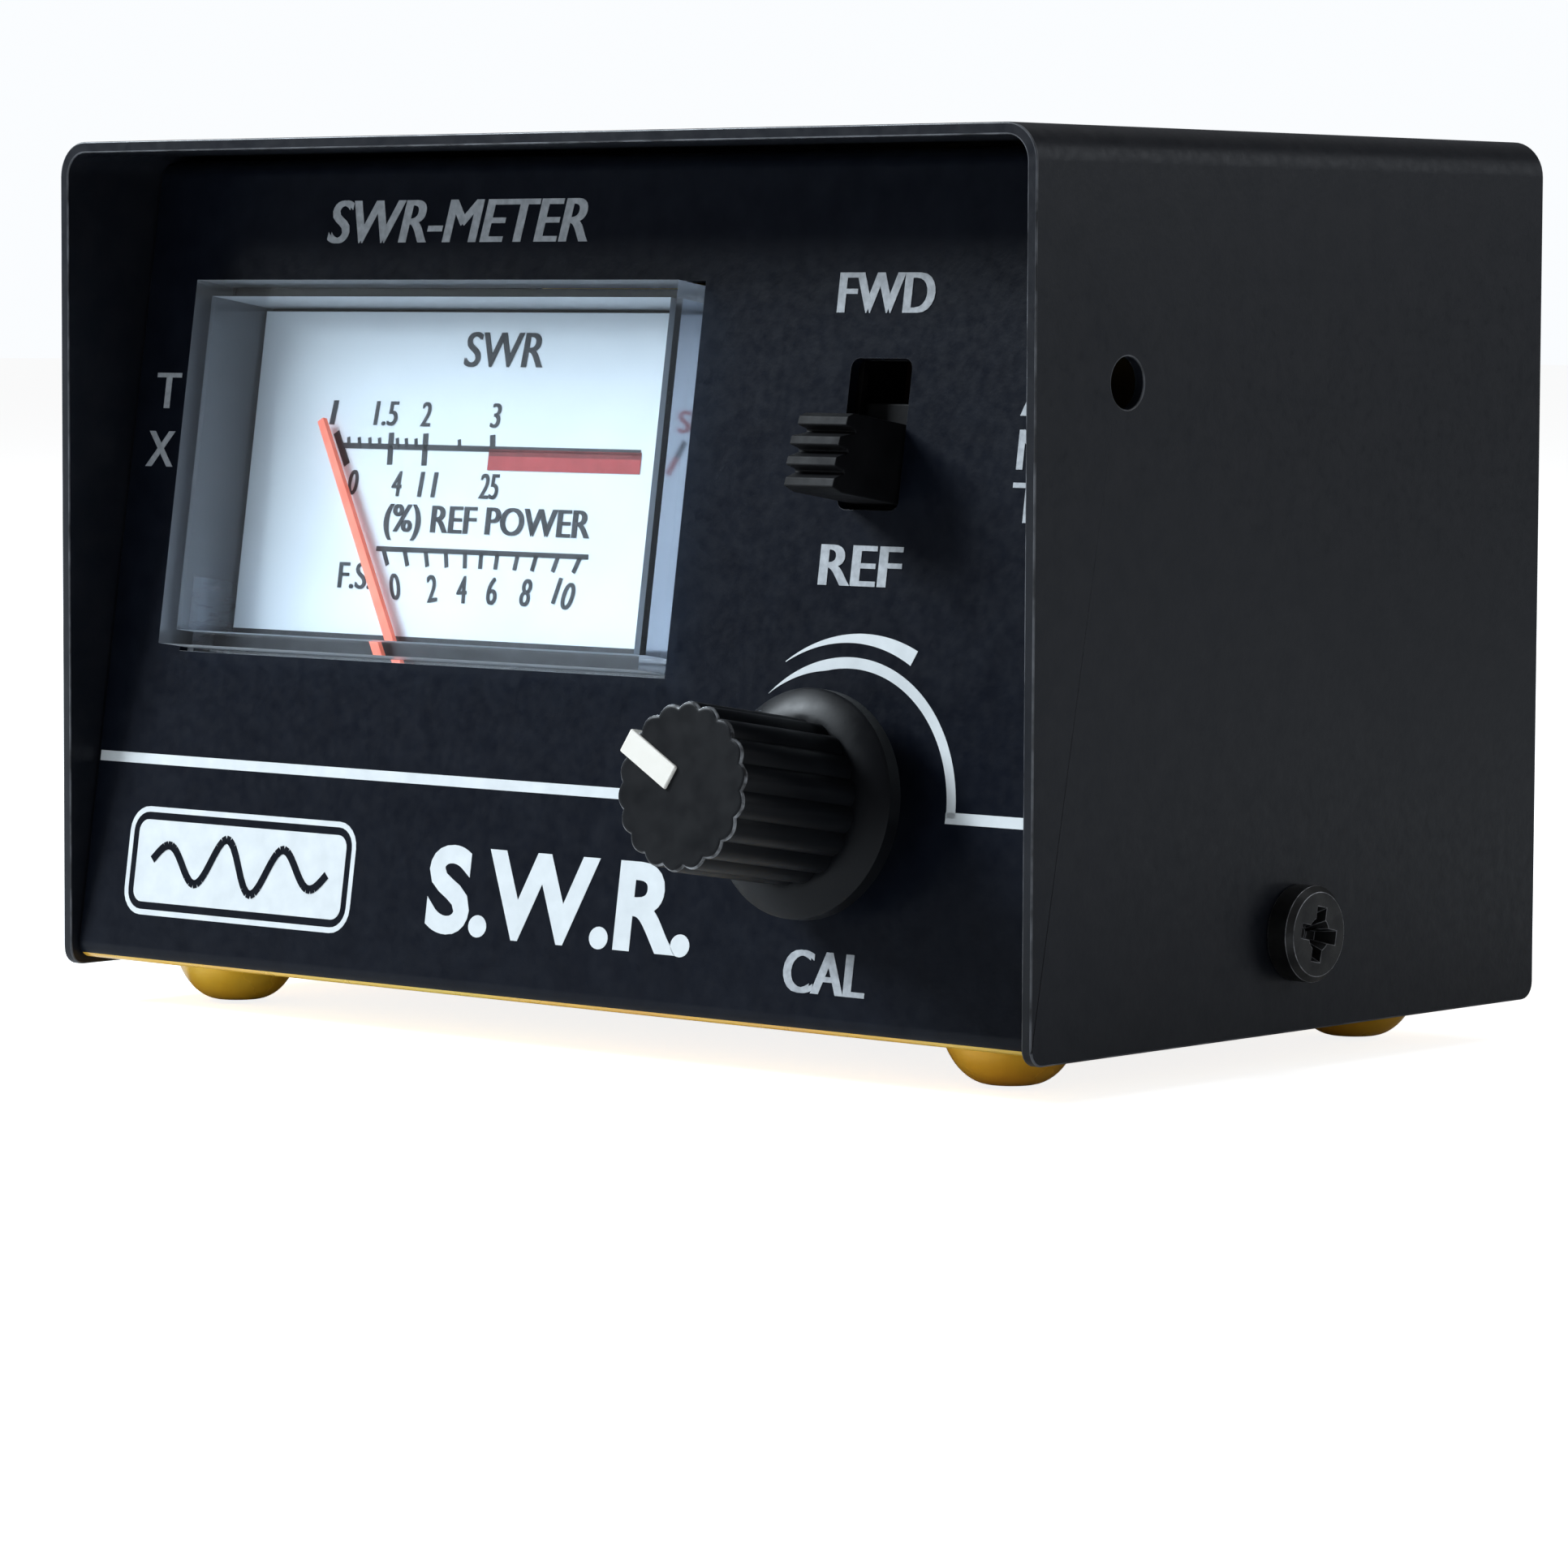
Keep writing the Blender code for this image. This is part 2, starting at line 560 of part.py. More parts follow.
def make_meter_lens():
    """A clear moulding: the window stands through the panel, the hood below it stays behind."""
    deep = LENS_BACK * 2
    lens = meter_box("meter_lens", 0, LENS_BACK, PANEL_BACK, METER_BOTTOM, CLEAR)
    combine(lens, meter_box("window_body", 0, LENS_BACK, WINDOW_PROUD, WINDOW_SILL), "UNION")
    combine(lens, meter_box("window_hollow", LENS_WALL, deep, WINDOW_PROUD - LENS_FRONT, WINDOW_SILL))
    combine(lens, meter_box("hood_hollow", LENS_WALL, deep, PANEL_BACK - LENS_WALL, METER_BOTTOM))


def stud_places():
    return ((METER_X - STUD_SPREAD / 2, STUD_UP), (METER_X + STUD_SPREAD / 2, STUD_UP))


def make_meter_case():
    floor = CASE_WALL - METER_DEPTH
    case = meter_box("meter_case", 0, -METER_DEPTH, LENS_BACK - GAP, METER_BOTTOM, BLACK_PLASTIC)
    combine(case, meter_box("case_hollow", CASE_WALL, floor, 0, METER_BOTTOM))
    post_up = METER_TOP - DIAL_HEIGHT + 4 * MM
    for tag, across in (("left", METER_X - METER_WIDTH * 0.4), ("right", METER_X + METER_WIDTH * 0.4)):
        post = rod("dial_post_" + tag, 1.4 * MM, -METER_DEPTH + CASE_WALL / 2,
                   DIAL_FACE - DIAL_SHEET - GAP, None, PANEL, (across, post_up))
        combine(case, post, "UNION")
    for index, (across, up) in enumerate(stud_places()):
        drill(case, "stud_hole_%d" % index, STUD_RADIUS + GAP, (across, up, -METER_DEPTH),
              parent=PANEL, steps=SMALL)
    drill(case, "jewel_hole", JEWEL_RADIUS + GAP, (PIVOT_X, PIVOT_UP, -METER_DEPTH),
          parent=PANEL, steps=SMALL)


def make_dial_plate():
    half = METER_WIDTH / 2 - LENS_WALL - GAP
    top = METER_TOP - LENS_WALL - GAP
    block("dial_plate", (METER_X - half, top - DIAL_HEIGHT, DIAL_FACE - DIAL_SHEET),
          (METER_X + half, top, DIAL_FACE), DIAL_WHITE, PANEL)


def make_movement():
    """Field yoke, core, bridge, coil, pivots and spring, all about the needle's axis."""
    at = (PIVOT_X, PIVOT_UP, 0)
    yoke = pipe_profile(YOKE_OUTER, YOKE_OUTER - YOKE_WALL, YOKE_BACK, YOKE_FACE)
    turned("meter_yoke", yoke, IRON, PANEL, at, ring=True)
    tab = YOKE_OUTER - YOKE_WALL - GAP
    core = rod("meter_core", CORE_RADIUS, YOKE_BACK + 0.4 * MM, YOKE_FACE - 0.4 * MM, IRON,
               PANEL, at, steps=24)
    tabs = block("core_tabs", (PIVOT_X - 1 * MM, PIVOT_UP - tab, YOKE_BACK + 1.2 * MM),
                 (PIVOT_X + 1 * MM, PIVOT_UP + tab, YOKE_FACE - 1.2 * MM), None, PANEL)
    combine(core, tabs, "UNION")

    bridge_half = BRIDGE_WIDTH / 2
    leg = YOKE_OUTER - 1.2 * MM
    bridge = block("meter_bridge", (PIVOT_X - bridge_half, PIVOT_UP - YOKE_OUTER, YOKE_FACE + GAP),
                   (PIVOT_X + bridge_half, PIVOT_UP + YOKE_OUTER, BRIDGE_FACE), BRASS, PANEL)
    combine(bridge, block("bridge_arch", (PIVOT_X - 2 * bridge_half, PIVOT_UP - leg, YOKE_FACE - GAP),
                          (PIVOT_X + 2 * bridge_half, PIVOT_UP + leg, BRIDGE_FACE - 0.6 * MM), None, PANEL))
    drill(bridge, "bridge_hole", STAFF_RADIUS + GAP, (PIVOT_X, PIVOT_UP, BRIDGE_FACE), parent=PANEL,
          length=4 * MM, steps=SMALL)

    coil_front = YOKE_FACE + 0.8 * MM
    coil_back = YOKE_BACK - 0.8 * MM
    length = coil_front - coil_back
    rings = [rounded(rectangle(2 * COIL_HALF, length), 0.6 * MM, 3),
             rectangle(2 * COIL_HALF - 2 * COIL_WIRE, length - 2 * COIL_WIRE + 0.4 * MM)]
    place("moving_coil", outline_mesh("moving_coil", rings, COIL_SIDE), COPPER, PANEL,
          (PIVOT_X, PIVOT_UP, (coil_front + coil_back) / 2), (math.pi / 2, 0, NEEDLE_REST))

    staff_low = coil_front + GAP
    rod("needle_staff", STAFF_RADIUS, staff_low, DIAL_FACE + 1.2 * MM, STEEL, PANEL, at)
    rod("rear_pivot", STAFF_RADIUS, -METER_DEPTH + CASE_WALL + 0.5 * MM, coil_back - GAP, STEEL, PANEL, at)
    seat_depth = CASE_WALL + 2 * SEAT
    jewel_head = JEWEL_RADIUS + 0.7 * MM
    screw_profile = [(0, 0), (JEWEL_RADIUS, 0), (JEWEL_RADIUS, -seat_depth), (jewel_head, -seat_depth),
                     (jewel_head, -seat_depth - 0.8 * MM), (0, -seat_depth - 0.8 * MM)]
    seat_face = CASE_WALL + SEAT - METER_DEPTH
    turned("rear_jewel_screw", screw_profile, BRASS, PANEL, (PIVOT_X, PIVOT_UP, seat_face), steps=SMALL)

    spring_points = 30
    spiral = []
    for step in range(spring_points + 1):
        share = step / spring_points
        angle = 2 * math.pi * SPRING_TURNS * share
        reach = (0.8 + 1.5 * share) * MM
        spiral.append((reach * math.cos(angle), reach * math.sin(angle), 0))
    spring = wire("hairspring", spiral, SPRING_WIRE, BRASS, PANEL, smooth=False)
    spring.location = (PIVOT_X, PIVOT_UP, BRIDGE_FACE + 0.35 * MM)


def make_needle():
    """A flat pointer with its hub and tail, turned to the zero mark about its staff."""
    half = NEEDLE_WIDTH / 2
    hub = 1.5 * MM
    ring = [(half * 0.7, NEEDLE_LENGTH), (-half * 0.7, NEEDLE_LENGTH)]
    start = math.atan2(math.sqrt(hub ** 2 - half ** 2), -half)
    for step in range(7):
        angle = start + (math.pi - 2 * (start - math.pi / 2)) * step / 6
        ring.append((hub * math.cos(angle), hub * math.sin(angle)))
    ring += [(-1.1 * MM, -4.5 * MM), (1.1 * MM, -4.5 * MM)]
    for step in range(7):
        angle = math.pi - start - (math.pi - 2 * (start - math.pi / 2)) * (1 - step / 6)
        ring.append((hub * math.cos(angle), hub * math.sin(angle)))
    mesh = outline_mesh("needle", [ring, circle(STAFF_RADIUS + SEAT, steps=12)], NEEDLE_SHEET)
    at = (PIVOT_X, PIVOT_UP, DIAL_FACE + 0.7 * MM)
    place("needle", mesh, NEEDLE_RED, PANEL, at, (0, 0, NEEDLE_REST))


def make_meter_fixings():
    for name, (across, up) in zip(("meter_terminal_plus", "meter_terminal_minus"), stud_places()):
        profile = [(0, 0.9 * MM), (STUD_FLANGE, 0.9 * MM), (STUD_FLANGE, 0), (STUD_RADIUS, 0),
                   (STUD_RADIUS, -2.0 * MM), (STUD_NUT, -2.0 * MM), (STUD_NUT, -4.0 * MM),
                   (STUD_RADIUS, -4.0 * MM), (STUD_RADIUS, -STUD_LENGTH), (0, -STUD_LENGTH)]
        turned(name, profile, BRASS, PANEL, (across, up, -METER_DEPTH + CASE_WALL + SEAT), steps=SMALL)
    half = METER_WIDTH / 2 + GAP
    back = -METER_DEPTH - GAP
    sheet = SWITCH_SHEET
    corners = [(-half - CLIP_EAR, PANEL_BACK - sheet), (-half - sheet, PANEL_BACK - sheet),
               (-half - sheet, back - sheet), (half + sheet, back - sheet),
               (half + sheet, PANEL_BACK - sheet), (half + CLIP_EAR, PANEL_BACK - sheet)]
    path = rounded(corners, SWITCH_BEND, 3, closed=False)
    strap = [(across + METER_X, CLIP_UP, out) for across, out in path]
    clip, wall = folded("meter_clip", strap, CLIP_WIDTH, STEEL, sheet, (0, 1, 0))
    clip.parent = PANEL
    wall.offset = -1


# ------------------------------------------------------------------ slide switch
def make_switch():
    half = SWITCH_WIDTH / 2
    top = PANEL_BACK
    bottom = SLOT_UP - SWITCH_LENGTH / 2
    corners = [(CONTROL_X - half, SWITCH_BACK), (CONTROL_X - half, top), (CONTROL_X + half, top),
               (CONTROL_X + half, SWITCH_BACK)]
    path = [(across, bottom, out) for across, out in rounded(corners, SWITCH_BEND, 3, closed=False)]
    frame, wall = folded("switch_frame", path, SWITCH_LENGTH, BLACK_STEEL, SWITCH_SHEET, (0, 1, 0))
    frame.parent = PANEL
    wall.offset = 1
    slot_half = SLIDER_WIDTH / 2 + GAP
    combine(frame, block("frame_slot", (CONTROL_X - slot_half, SLOT_UP - SLOT_HEIGHT / 2, top - MM),
                         (CONTROL_X + slot_half, SLOT_UP + SLOT_HEIGHT / 2, top + MM), None, PANEL))

    inner = half - SWITCH_SHEET - GAP
    base_top = SWITCH_BACK + 1.3 * MM
    base = block("switch_base", (CONTROL_X - inner, bottom, SWITCH_BACK),
                 (CONTROL_X + inner, bottom + SWITCH_LENGTH, base_top), PHENOLIC, PANEL)
    pin_half = PIN_WIDTH / 2
    sheet_half = PIN_SHEET / 2
    for index in (-1, 0, 1):
        up = SLOT_UP + index * PIN_PITCH
        block("switch_terminal_%d" % (index + 2), (CONTROL_X - sheet_half, up - pin_half, PIN_END),
              (CONTROL_X + sheet_half, up + pin_half, base_top + 0.4 * MM), BRASS, PANEL)
        half_across = sheet_half + SEAT
        half_up = pin_half + SEAT
        hole = block("terminal_hole_%d" % (index + 2), (CONTROL_X - half_across, up - half_up, 2 * PIN_END),
                     (CONTROL_X + half_across, up + half_up, 0), None, PANEL)
        combine(base, hole)

    block_top = top - SWITCH_SHEET - GAP
    block_half = SLIDER_HEIGHT / 2 + 1.6 * MM
    ring = [(-SLIDER_HEIGHT / 2, block_top - 0.5 * MM), (SLIDER_HEIGHT / 2, block_top - 0.5 * MM)]
    edge = SLIDER_HEIGHT / 2
    ring.append((edge, SLIDER_PROUD - 1.3 * MM))
    pitch = SLIDER_HEIGHT / SLIDER_RIDGES
    for ridge in range(SLIDER_RIDGES):
        crest = edge - (ridge + 0.5) * pitch
        lift = 0.6 * MM * (1 - (crest / edge) ** 2)
        ring.append((crest, SLIDER_PROUD - 0.6 * MM + lift))
        if ridge < SLIDER_RIDGES - 1:
            ring.append((crest - pitch / 2, SLIDER_PROUD - 1.5 * MM + lift))
    ring.append((-edge, SLIDER_PROUD - 1.3 * MM))
    mesh = outline_mesh("switch_slider", [ring], SLIDER_WIDTH)
    # the outline's first axis runs up the panel, its second out of it, and its thickness across
    mesh.transform(Matrix(((0, 0, 1, 0), (1, 0, 0, 0), (0, 1, 0, 0), (0, 0, 0, 1))))
    slider = place("switch_slider", mesh, BLACK_PLASTIC, PANEL, (CONTROL_X, SLIDER_REST, 0))
    shoe_half = inner - GAP
    shoe_low = block_top - SLIDER_BLOCK
    shoe = block("slider_shoe", (-shoe_half, -block_half, shoe_low), (shoe_half, block_half, block_top))
    shoe.parent = slider
    combine(slider, shoe, "UNION")
    contact_top = block_top - SLIDER_BLOCK - SEAT
    contact_half = PIN_PITCH / 2 + pin_half
    block("switch_contact", (CONTROL_X - 1.2 * MM, SLIDER_REST - contact_half, contact_top - 0.5 * MM),
          (CONTROL_X + 1.2 * MM, SLIDER_REST + contact_half, contact_top), BRASS, PANEL)


# ------------------------------------------------------------------ potentiometer and knob
def make_potentiometer():
    at = (CONTROL_X, KNOB_UP, 0)
    front = PANEL_BACK
    back = front - POT_DEPTH
    wall = 0.8 * MM
    bore = SHAFT_RADIUS + GAP
    room = POT_RADIUS - wall
    lid = front - 2 * wall
    cup = [(POT_RADIUS, front), (POT_RADIUS, back), (0, back), (0, back + wall), (room, back + wall),
           (room, lid), (bore, lid), (bore, front)]
    turned("pot_body", cup, STEEL, PANEL, at, ring=True)
    turned("pot_bushing", pipe_profile(BUSHING_RADIUS, bore, front + GAP, BUSHING_END), BRASS, PANEL, at,
           steps=24, ring=True)
    shaft_low = front - 2.6 * MM
    rod("pot_shaft", SHAFT_RADIUS, shaft_low, SHAFT_END, STEEL, PANEL, at, steps=24)
    wiper_top = shaft_low - GAP
    arm = rounded(rectangle(2 * MM, WIPER_LENGTH, (0, WIPER_LENGTH / 4)), 0.6 * MM, 3)
    place("pot_wiper", outline_mesh("pot_wiper", [arm], PIN_SHEET), BRASS, PANEL,
          (CONTROL_X, KNOB_UP, wiper_top - PIN_SHEET / 2), (0, 0, MARKER_REST))
    hexagon = circle(NUT_FLATS / 2 / math.cos(math.pi / 6), steps=6)
    rings = [hexagon, circle(BUSHING_RADIUS + SEAT, steps=24)]
    place("pot_nut", outline_mesh("pot_nut", rings, NUT_DEPTH), STEEL, PANEL,
          (CONTROL_X, KNOB_UP, SEAT + NUT_DEPTH / 2))
    for index in (-1, 0, 1):
        across, up = pot_pin(index)
        block("pot_terminal_%d" % (index + 2), (across - PIN_WIDTH / 2, up - PIN_SHEET / 2, PIN_END),
              (across + PIN_WIDTH / 2, up + PIN_SHEET / 2, back - GAP), BRASS, PANEL)


def pot_pin(index):
    return CONTROL_X + index * POT_PIN_PITCH, KNOB_UP - POT_PIN_DROP


def make_knob():
    """A fluted body on a coned skirt, hollow behind for the nut and bored for the shaft."""
    per_flute = 6
    count = KNOB_FLUTES * per_flute
    ring = []
    for step in range(count):
        angle = 2 * math.pi * step / count
        wave = abs(math.sin(KNOB_FLUTES * angle / 2))
        reach = KNOB_RADIUS - FLUTE_DEPTH * (1 - wave)
        ring.append((reach * math.cos(angle), reach * math.sin(angle)))
    length = KNOB_FACE - KNOB_BACK - SKIRT_RIM
    mesh = outline_mesh("knob", [ring], length)
    mesh.transform(Matrix.Translation((0, 0, KNOB_FACE - length / 2)))
    at = (CONTROL_X, KNOB_UP, 0)
    knob = place("knob", mesh, BLACK_PLASTIC, PANEL, at)
    cone_top = KNOB_BACK + SKIRT_RIM + SKIRT_CONE
    skirt = [(0, cone_top), (KNOB_RADIUS + 0.3 * MM, cone_top), (SKIRT_RADIUS, KNOB_BACK + SKIRT_RIM),
             (SKIRT_RADIUS, KNOB_BACK), (0, KNOB_BACK)]
    combine(knob, turned("skirt_body", skirt, None, PANEL, at, steps=48), "UNION")
    nut_room = NUT_FLATS / 2 / math.cos(math.pi / 6) + 2 * GAP
    step_up = max(KNOB_BACK + 0.8 * MM, SEAT + NUT_DEPTH + GAP)
    bushing_room = BUSHING_RADIUS + GAP
    shaft_room = SHAFT_RADIUS + SEAT
    bushing_top = BUSHING_END + GAP
    bore = [(0, SHAFT_END + GAP), (shaft_room, SHAFT_END + GAP), (shaft_room, bushing_top),
            (bushing_room, bushing_top), (bushing_room, step_up), (nut_room, step_up),
            (nut_room, KNOB_BACK - MM), (0, KNOB_BACK - MM)]
    combine(knob, turned("knob_bore", bore, None, PANEL, at))

    tip = KNOB_RADIUS + 0.25 * MM
    centre = tip - MARKER_LENGTH / 2
    face = KNOB_FACE
    half = MARKER_WIDTH / 2 + SEAT
    groove = block("marker_groove", (-half, tip - MARKER_LENGTH - SEAT, face - MARKER_DEPTH),
                   (half, tip + MM, face + MM))
    spin = Matrix.Rotation(MARKER_REST, 4, "Z")
    groove.data.transform(Matrix.Translation(groove.location))
    groove.data.transform(spin)
    groove.location = at
    groove.parent = PANEL
    combine(knob, groove)
    marker = block("knob_marker", (-MARKER_WIDTH / 2, -MARKER_LENGTH / 2, face - MARKER_DEPTH + SEAT),
                   (MARKER_WIDTH / 2, MARKER_LENGTH / 2, face + MARKER_PROUD), MARKER_WHITE)
    lift = marker.location.z
    marker.data.transform(spin @ Matrix.Translation((0, centre, lift)))
    marker.location = at
    marker.parent = PANEL


def make_control_board():
    low = (CONTROL_X - 9.5 * MM, KNOB_UP - 8.5 * MM, BOARD_FACE - BOARD)
    high = (CASE_WIDTH / 2 - BOARD_MARGIN, SLOT_UP + 10.5 * MM, BOARD_FACE)
    board = block("control_board", low, high, BOARD_TAN, PANEL)
    for index in (-1, 0, 1):
        combine(board, bpy.data.objects["terminal_hole_%d" % (index + 2)])
        across, up = pot_pin(index)
        half_across = PIN_WIDTH / 2 + SEAT
        half_up = PIN_SHEET / 2 + SEAT
        hole = block("pot_pin_hole_%d" % (index + 2), (across - half_across, up - half_up, 2 * PIN_END),
                     (across + half_across, up + half_up, 0), None, PANEL)
        combine(board, hole)


# ------------------------------------------------------------------ rear sockets
def make_socket(tag, across):
    """A chassis coax socket: flanged shell, insulator and centre contact, with two rivets."""
    at = (across, SOCKET_UP, 0)
    seat = SEAT
    face = seat + SOCKET_SHEET
    end = face + SOCKET_LENGTH
    plate = [rounded(rectangle(SOCKET_FLANGE, SOCKET_FLANGE), 2 * MM, 4)]
    for turn in (-1, 1):
        plate.append(circle(RIVET_SHANK + GAP, (turn * RIVET_OFFSET, turn * RIVET_OFFSET)))
    mesh = outline_mesh("socket_" + tag, plate, SOCKET_SHEET)
    mesh.transform(Matrix.Translation((0, 0, seat + SOCKET_SHEET / 2)))
    shell = place("socket_" + tag, mesh, NICKEL, REAR, at)
    barrel = [(0, end), (SOCKET_RADIUS, end), (SOCKET_RADIUS, seat + SOCKET_SHEET / 2),
              (0, seat + SOCKET_SHEET / 2)]
    combine(shell, turned("barrel_" + tag, barrel, None, REAR, at), "UNION")
    tail = -SHEET - 1.6 * MM
    spigot = [(0, face), (SOCKET_HOLE, face), (SOCKET_HOLE, tail), (0, tail)]
    combine(shell, turned("spigot_" + tag, spigot, None, REAR, at), "UNION")
    floor = face + 1.0 * MM
    bore = [(0, end + MM), (SOCKET_BORE, end + MM), (SOCKET_BORE, floor), (SOCKET_HOLE - MM, floor),
            (SOCKET_HOLE - MM, tail - MM), (0, tail - MM)]
    combine(shell, turned("socket_bore_" + tag, bore, None, REAR, at))

    contact = CONTACT_RADIUS
    cup = CONTACT_TAIL
    lip = end - 2.2 * MM
    shank = cup + SEAT
    wide = SOCKET_BORE - SEAT
    narrow = SOCKET_HOLE - MM - SEAT
    core = [(wide, lip), (wide, floor + SEAT), (narrow, floor + SEAT), (narrow, tail), (shank, tail),
            (shank, floor), (contact + SEAT, floor), (contact + SEAT, lip)]
    turned("socket_insulator_" + tag, core, INSULATOR, REAR, at, steps=24, ring=True)
    hollow = CONTACT_BORE
    tip = end - 1.0 * MM
    pin = [(contact, tip), (contact, floor + SEAT), (cup, floor + SEAT), (cup, tail - 6.0 * MM),
           (0, tail - 6.0 * MM), (0, floor + 2 * MM), (hollow, floor + 2 * MM), (hollow, tip)]
    turned("socket_contact_" + tag, pin, BRASS, REAR, at, steps=SMALL, ring=True)
    for index, turn in enumerate((-1, 1)):
        rivet = [(0, face + 1.2 * MM), (1.6 * MM, face + 1.0 * MM), (2.6 * MM, face + SEAT),
                 (RIVET_SHANK, face + SEAT), (RIVET_SHANK, -SHEET - SEAT), (2.4 * MM, -SHEET - SEAT),
                 (2.0 * MM, -SHEET - 0.9 * MM), (0, -SHEET - 0.9 * MM)]
        turned("rivet_%s_%d" % (tag, index + 1), rivet, NICKEL, REAR,
               (across + turn * RIVET_OFFSET, SOCKET_UP + turn * RIVET_OFFSET, 0), steps=SMALL)


def mirrored(profile):
    """A turned outline completed with its own reflection below the middle."""
    return profile + [(radius, -height) for radius, height in reversed(profile)]


def make_coupler():
    """Board behind the sockets with the through line, two sense lines and their parts."""
    back = -COUPLER_BACK
    face = back - BOARD
    board = block("coupler_board", (-COUPLER_WIDTH / 2, SOCKET_UP - COUPLER_HEIGHT / 2, face),
                  (COUPLER_WIDTH / 2, SOCKET_UP + COUPLER_HEIGHT / 2, back), BOARD_TAN, REAR)
    track_top = face - SEAT
    line_half = SOCKET_SPREAD / 2 - 2 * MM
    block("through_line", (-line_half, SOCKET_UP - 1.2 * MM, track_top - TRACK),
          (line_half, SOCKET_UP + 1.2 * MM, track_top), COPPER, REAR)
    for tag, side in (("forward", 1), ("reflected", -1)):
        up = SOCKET_UP + side * 3.0 * MM
        block("sense_line_" + tag, (-SENSE_LENGTH / 2, up - 0.5 * MM, track_top - TRACK),
              (SENSE_LENGTH / 2, up + 0.5 * MM, track_top), COPPER, REAR)
        part_up = SOCKET_UP + side * PART_SPREAD
        diode = mirrored([(0, 5 * MM), (TAIL, 5 * MM), (TAIL, 2 * MM), (0.9 * MM, 2 * MM)])
        turned("diode_" + tag, diode, GLASS_ORANGE, REAR,
               (side * PART_ASIDE, part_up, track_top - 1.3 * MM), SIDEWAYS, steps=12)
        resistor = mirrored([(0, 6 * MM), (TAIL, 6 * MM), (TAIL, 3.2 * MM), (1.0 * MM, 3.2 * MM),
                             (1.2 * MM, 2.6 * MM), (0.95 * MM, 1.6 * MM)])
        turned("resistor_" + tag, resistor, RESISTOR_BEIGE, REAR,
               (-side * PART_ASIDE, part_up, track_top - 1.5 * MM), SIDEWAYS, steps=12)
    disc = mirrored([(0, 0.8 * MM), (2.0 * MM, 0.8 * MM), (2.6 * MM, 0.3 * MM)])
    turned("bypass_capacitor", disc, CERAMIC, REAR, (0, SOCKET_UP + PART_SPREAD, track_top - 3.0 * MM),
           SIDEWAYS, steps=SMALL)
    for side in (-1, 1):
        drill(board, "cup_hole", CONTACT_TAIL + GAP, (side * SOCKET_SPREAD / 2, SOCKET_UP, back),
              parent=REAR, steps=SMALL)


def make_leads():
    """Hookup wires: meter studs to the control board, and coupler board to the control board."""
    board_back = BOARD_FACE - BOARD - GAP - LEAD_RADIUS
    stud_back = CASE_WALL - METER_DEPTH - STUD_LENGTH - GAP - LEAD_RADIUS
    end_x = CONTROL_X + 4 * MM
    ends = (("meter_lead_plus", RED_PVC, 10.4 * MM), ("meter_lead_minus", BLACK_PVC, 6.4 * MM))
    for (name, finish, drop), (across, up) in zip(ends, stud_places()):
        end = SLOT_UP - drop
        route = [(across, up, stud_back), (across + 3 * MM, up - 1 * MM, stud_back - 1.5 * MM),
                 (across + 14 * MM, end + 2 * MM, stud_back - 2.5 * MM),
                 (CONTROL_X - 4 * MM, end, stud_back + 3 * MM), (end_x, end, board_back - 1 * MM),
                 (end_x + 3 * MM, end, board_back)]
        wire(name, route, LEAD_RADIUS, finish, PANEL)
    coupler_front = REAR_Y - COUPLER_BACK - BOARD
    for name, finish, up, end in (("forward_lead", BLUE_PVC, 22 * MM, 26 * MM),
                                  ("reflected_lead", YELLOW_PVC, 18 * MM, 22 * MM)):
        goal = panel_point(CONTROL_X + 10 * MM, end, board_back)
        start = Vector((20 * MM, coupler_front - GAP - LEAD_RADIUS, FOOT_DROP + up + 2 * MM))
        middle = (start + goal) / 2
        route = [start, start + Vector((4 * MM, -1.5 * MM, 0)), middle + Vector((0, 0, 1 * MM)),
                 goal + Vector((0, 3 * MM, 0)), goal]
        wire(name, route, LEAD_RADIUS, finish)


make_cover()
make_chassis()
make_cover_screw("cover_screw_right", 1)
make_cover_screw("cover_screw_left", -1)
make_meter_lens()
make_meter_case()
make_dial_plate()
make_movement()
make_needle()
make_meter_fixings()
make_switch()
make_potentiometer()
make_knob()
make_control_board()
make_socket("tx", SOCKET_SPREAD / 2)
make_socket("ant", -SOCKET_SPREAD / 2)
make_coupler()
make_leads()
bpy.context.view_layer.update()
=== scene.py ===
# %% [markdown]
# # A standing wave meter, dressed around its CAD model
# The meter is a bent steel cover over a folded chassis. A clear moulded window, a slide switch and
# a fluted knob stand out of a leaning front panel, and two threaded sockets stand out of the back.
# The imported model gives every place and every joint. This script gives the finishes, and models
# again each piece whose fine shape can be seen: bends, rims, threads, ridges and printed marks.

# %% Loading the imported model
import json
import math

import bmesh
import bpy
from mathutils import Matrix, Vector

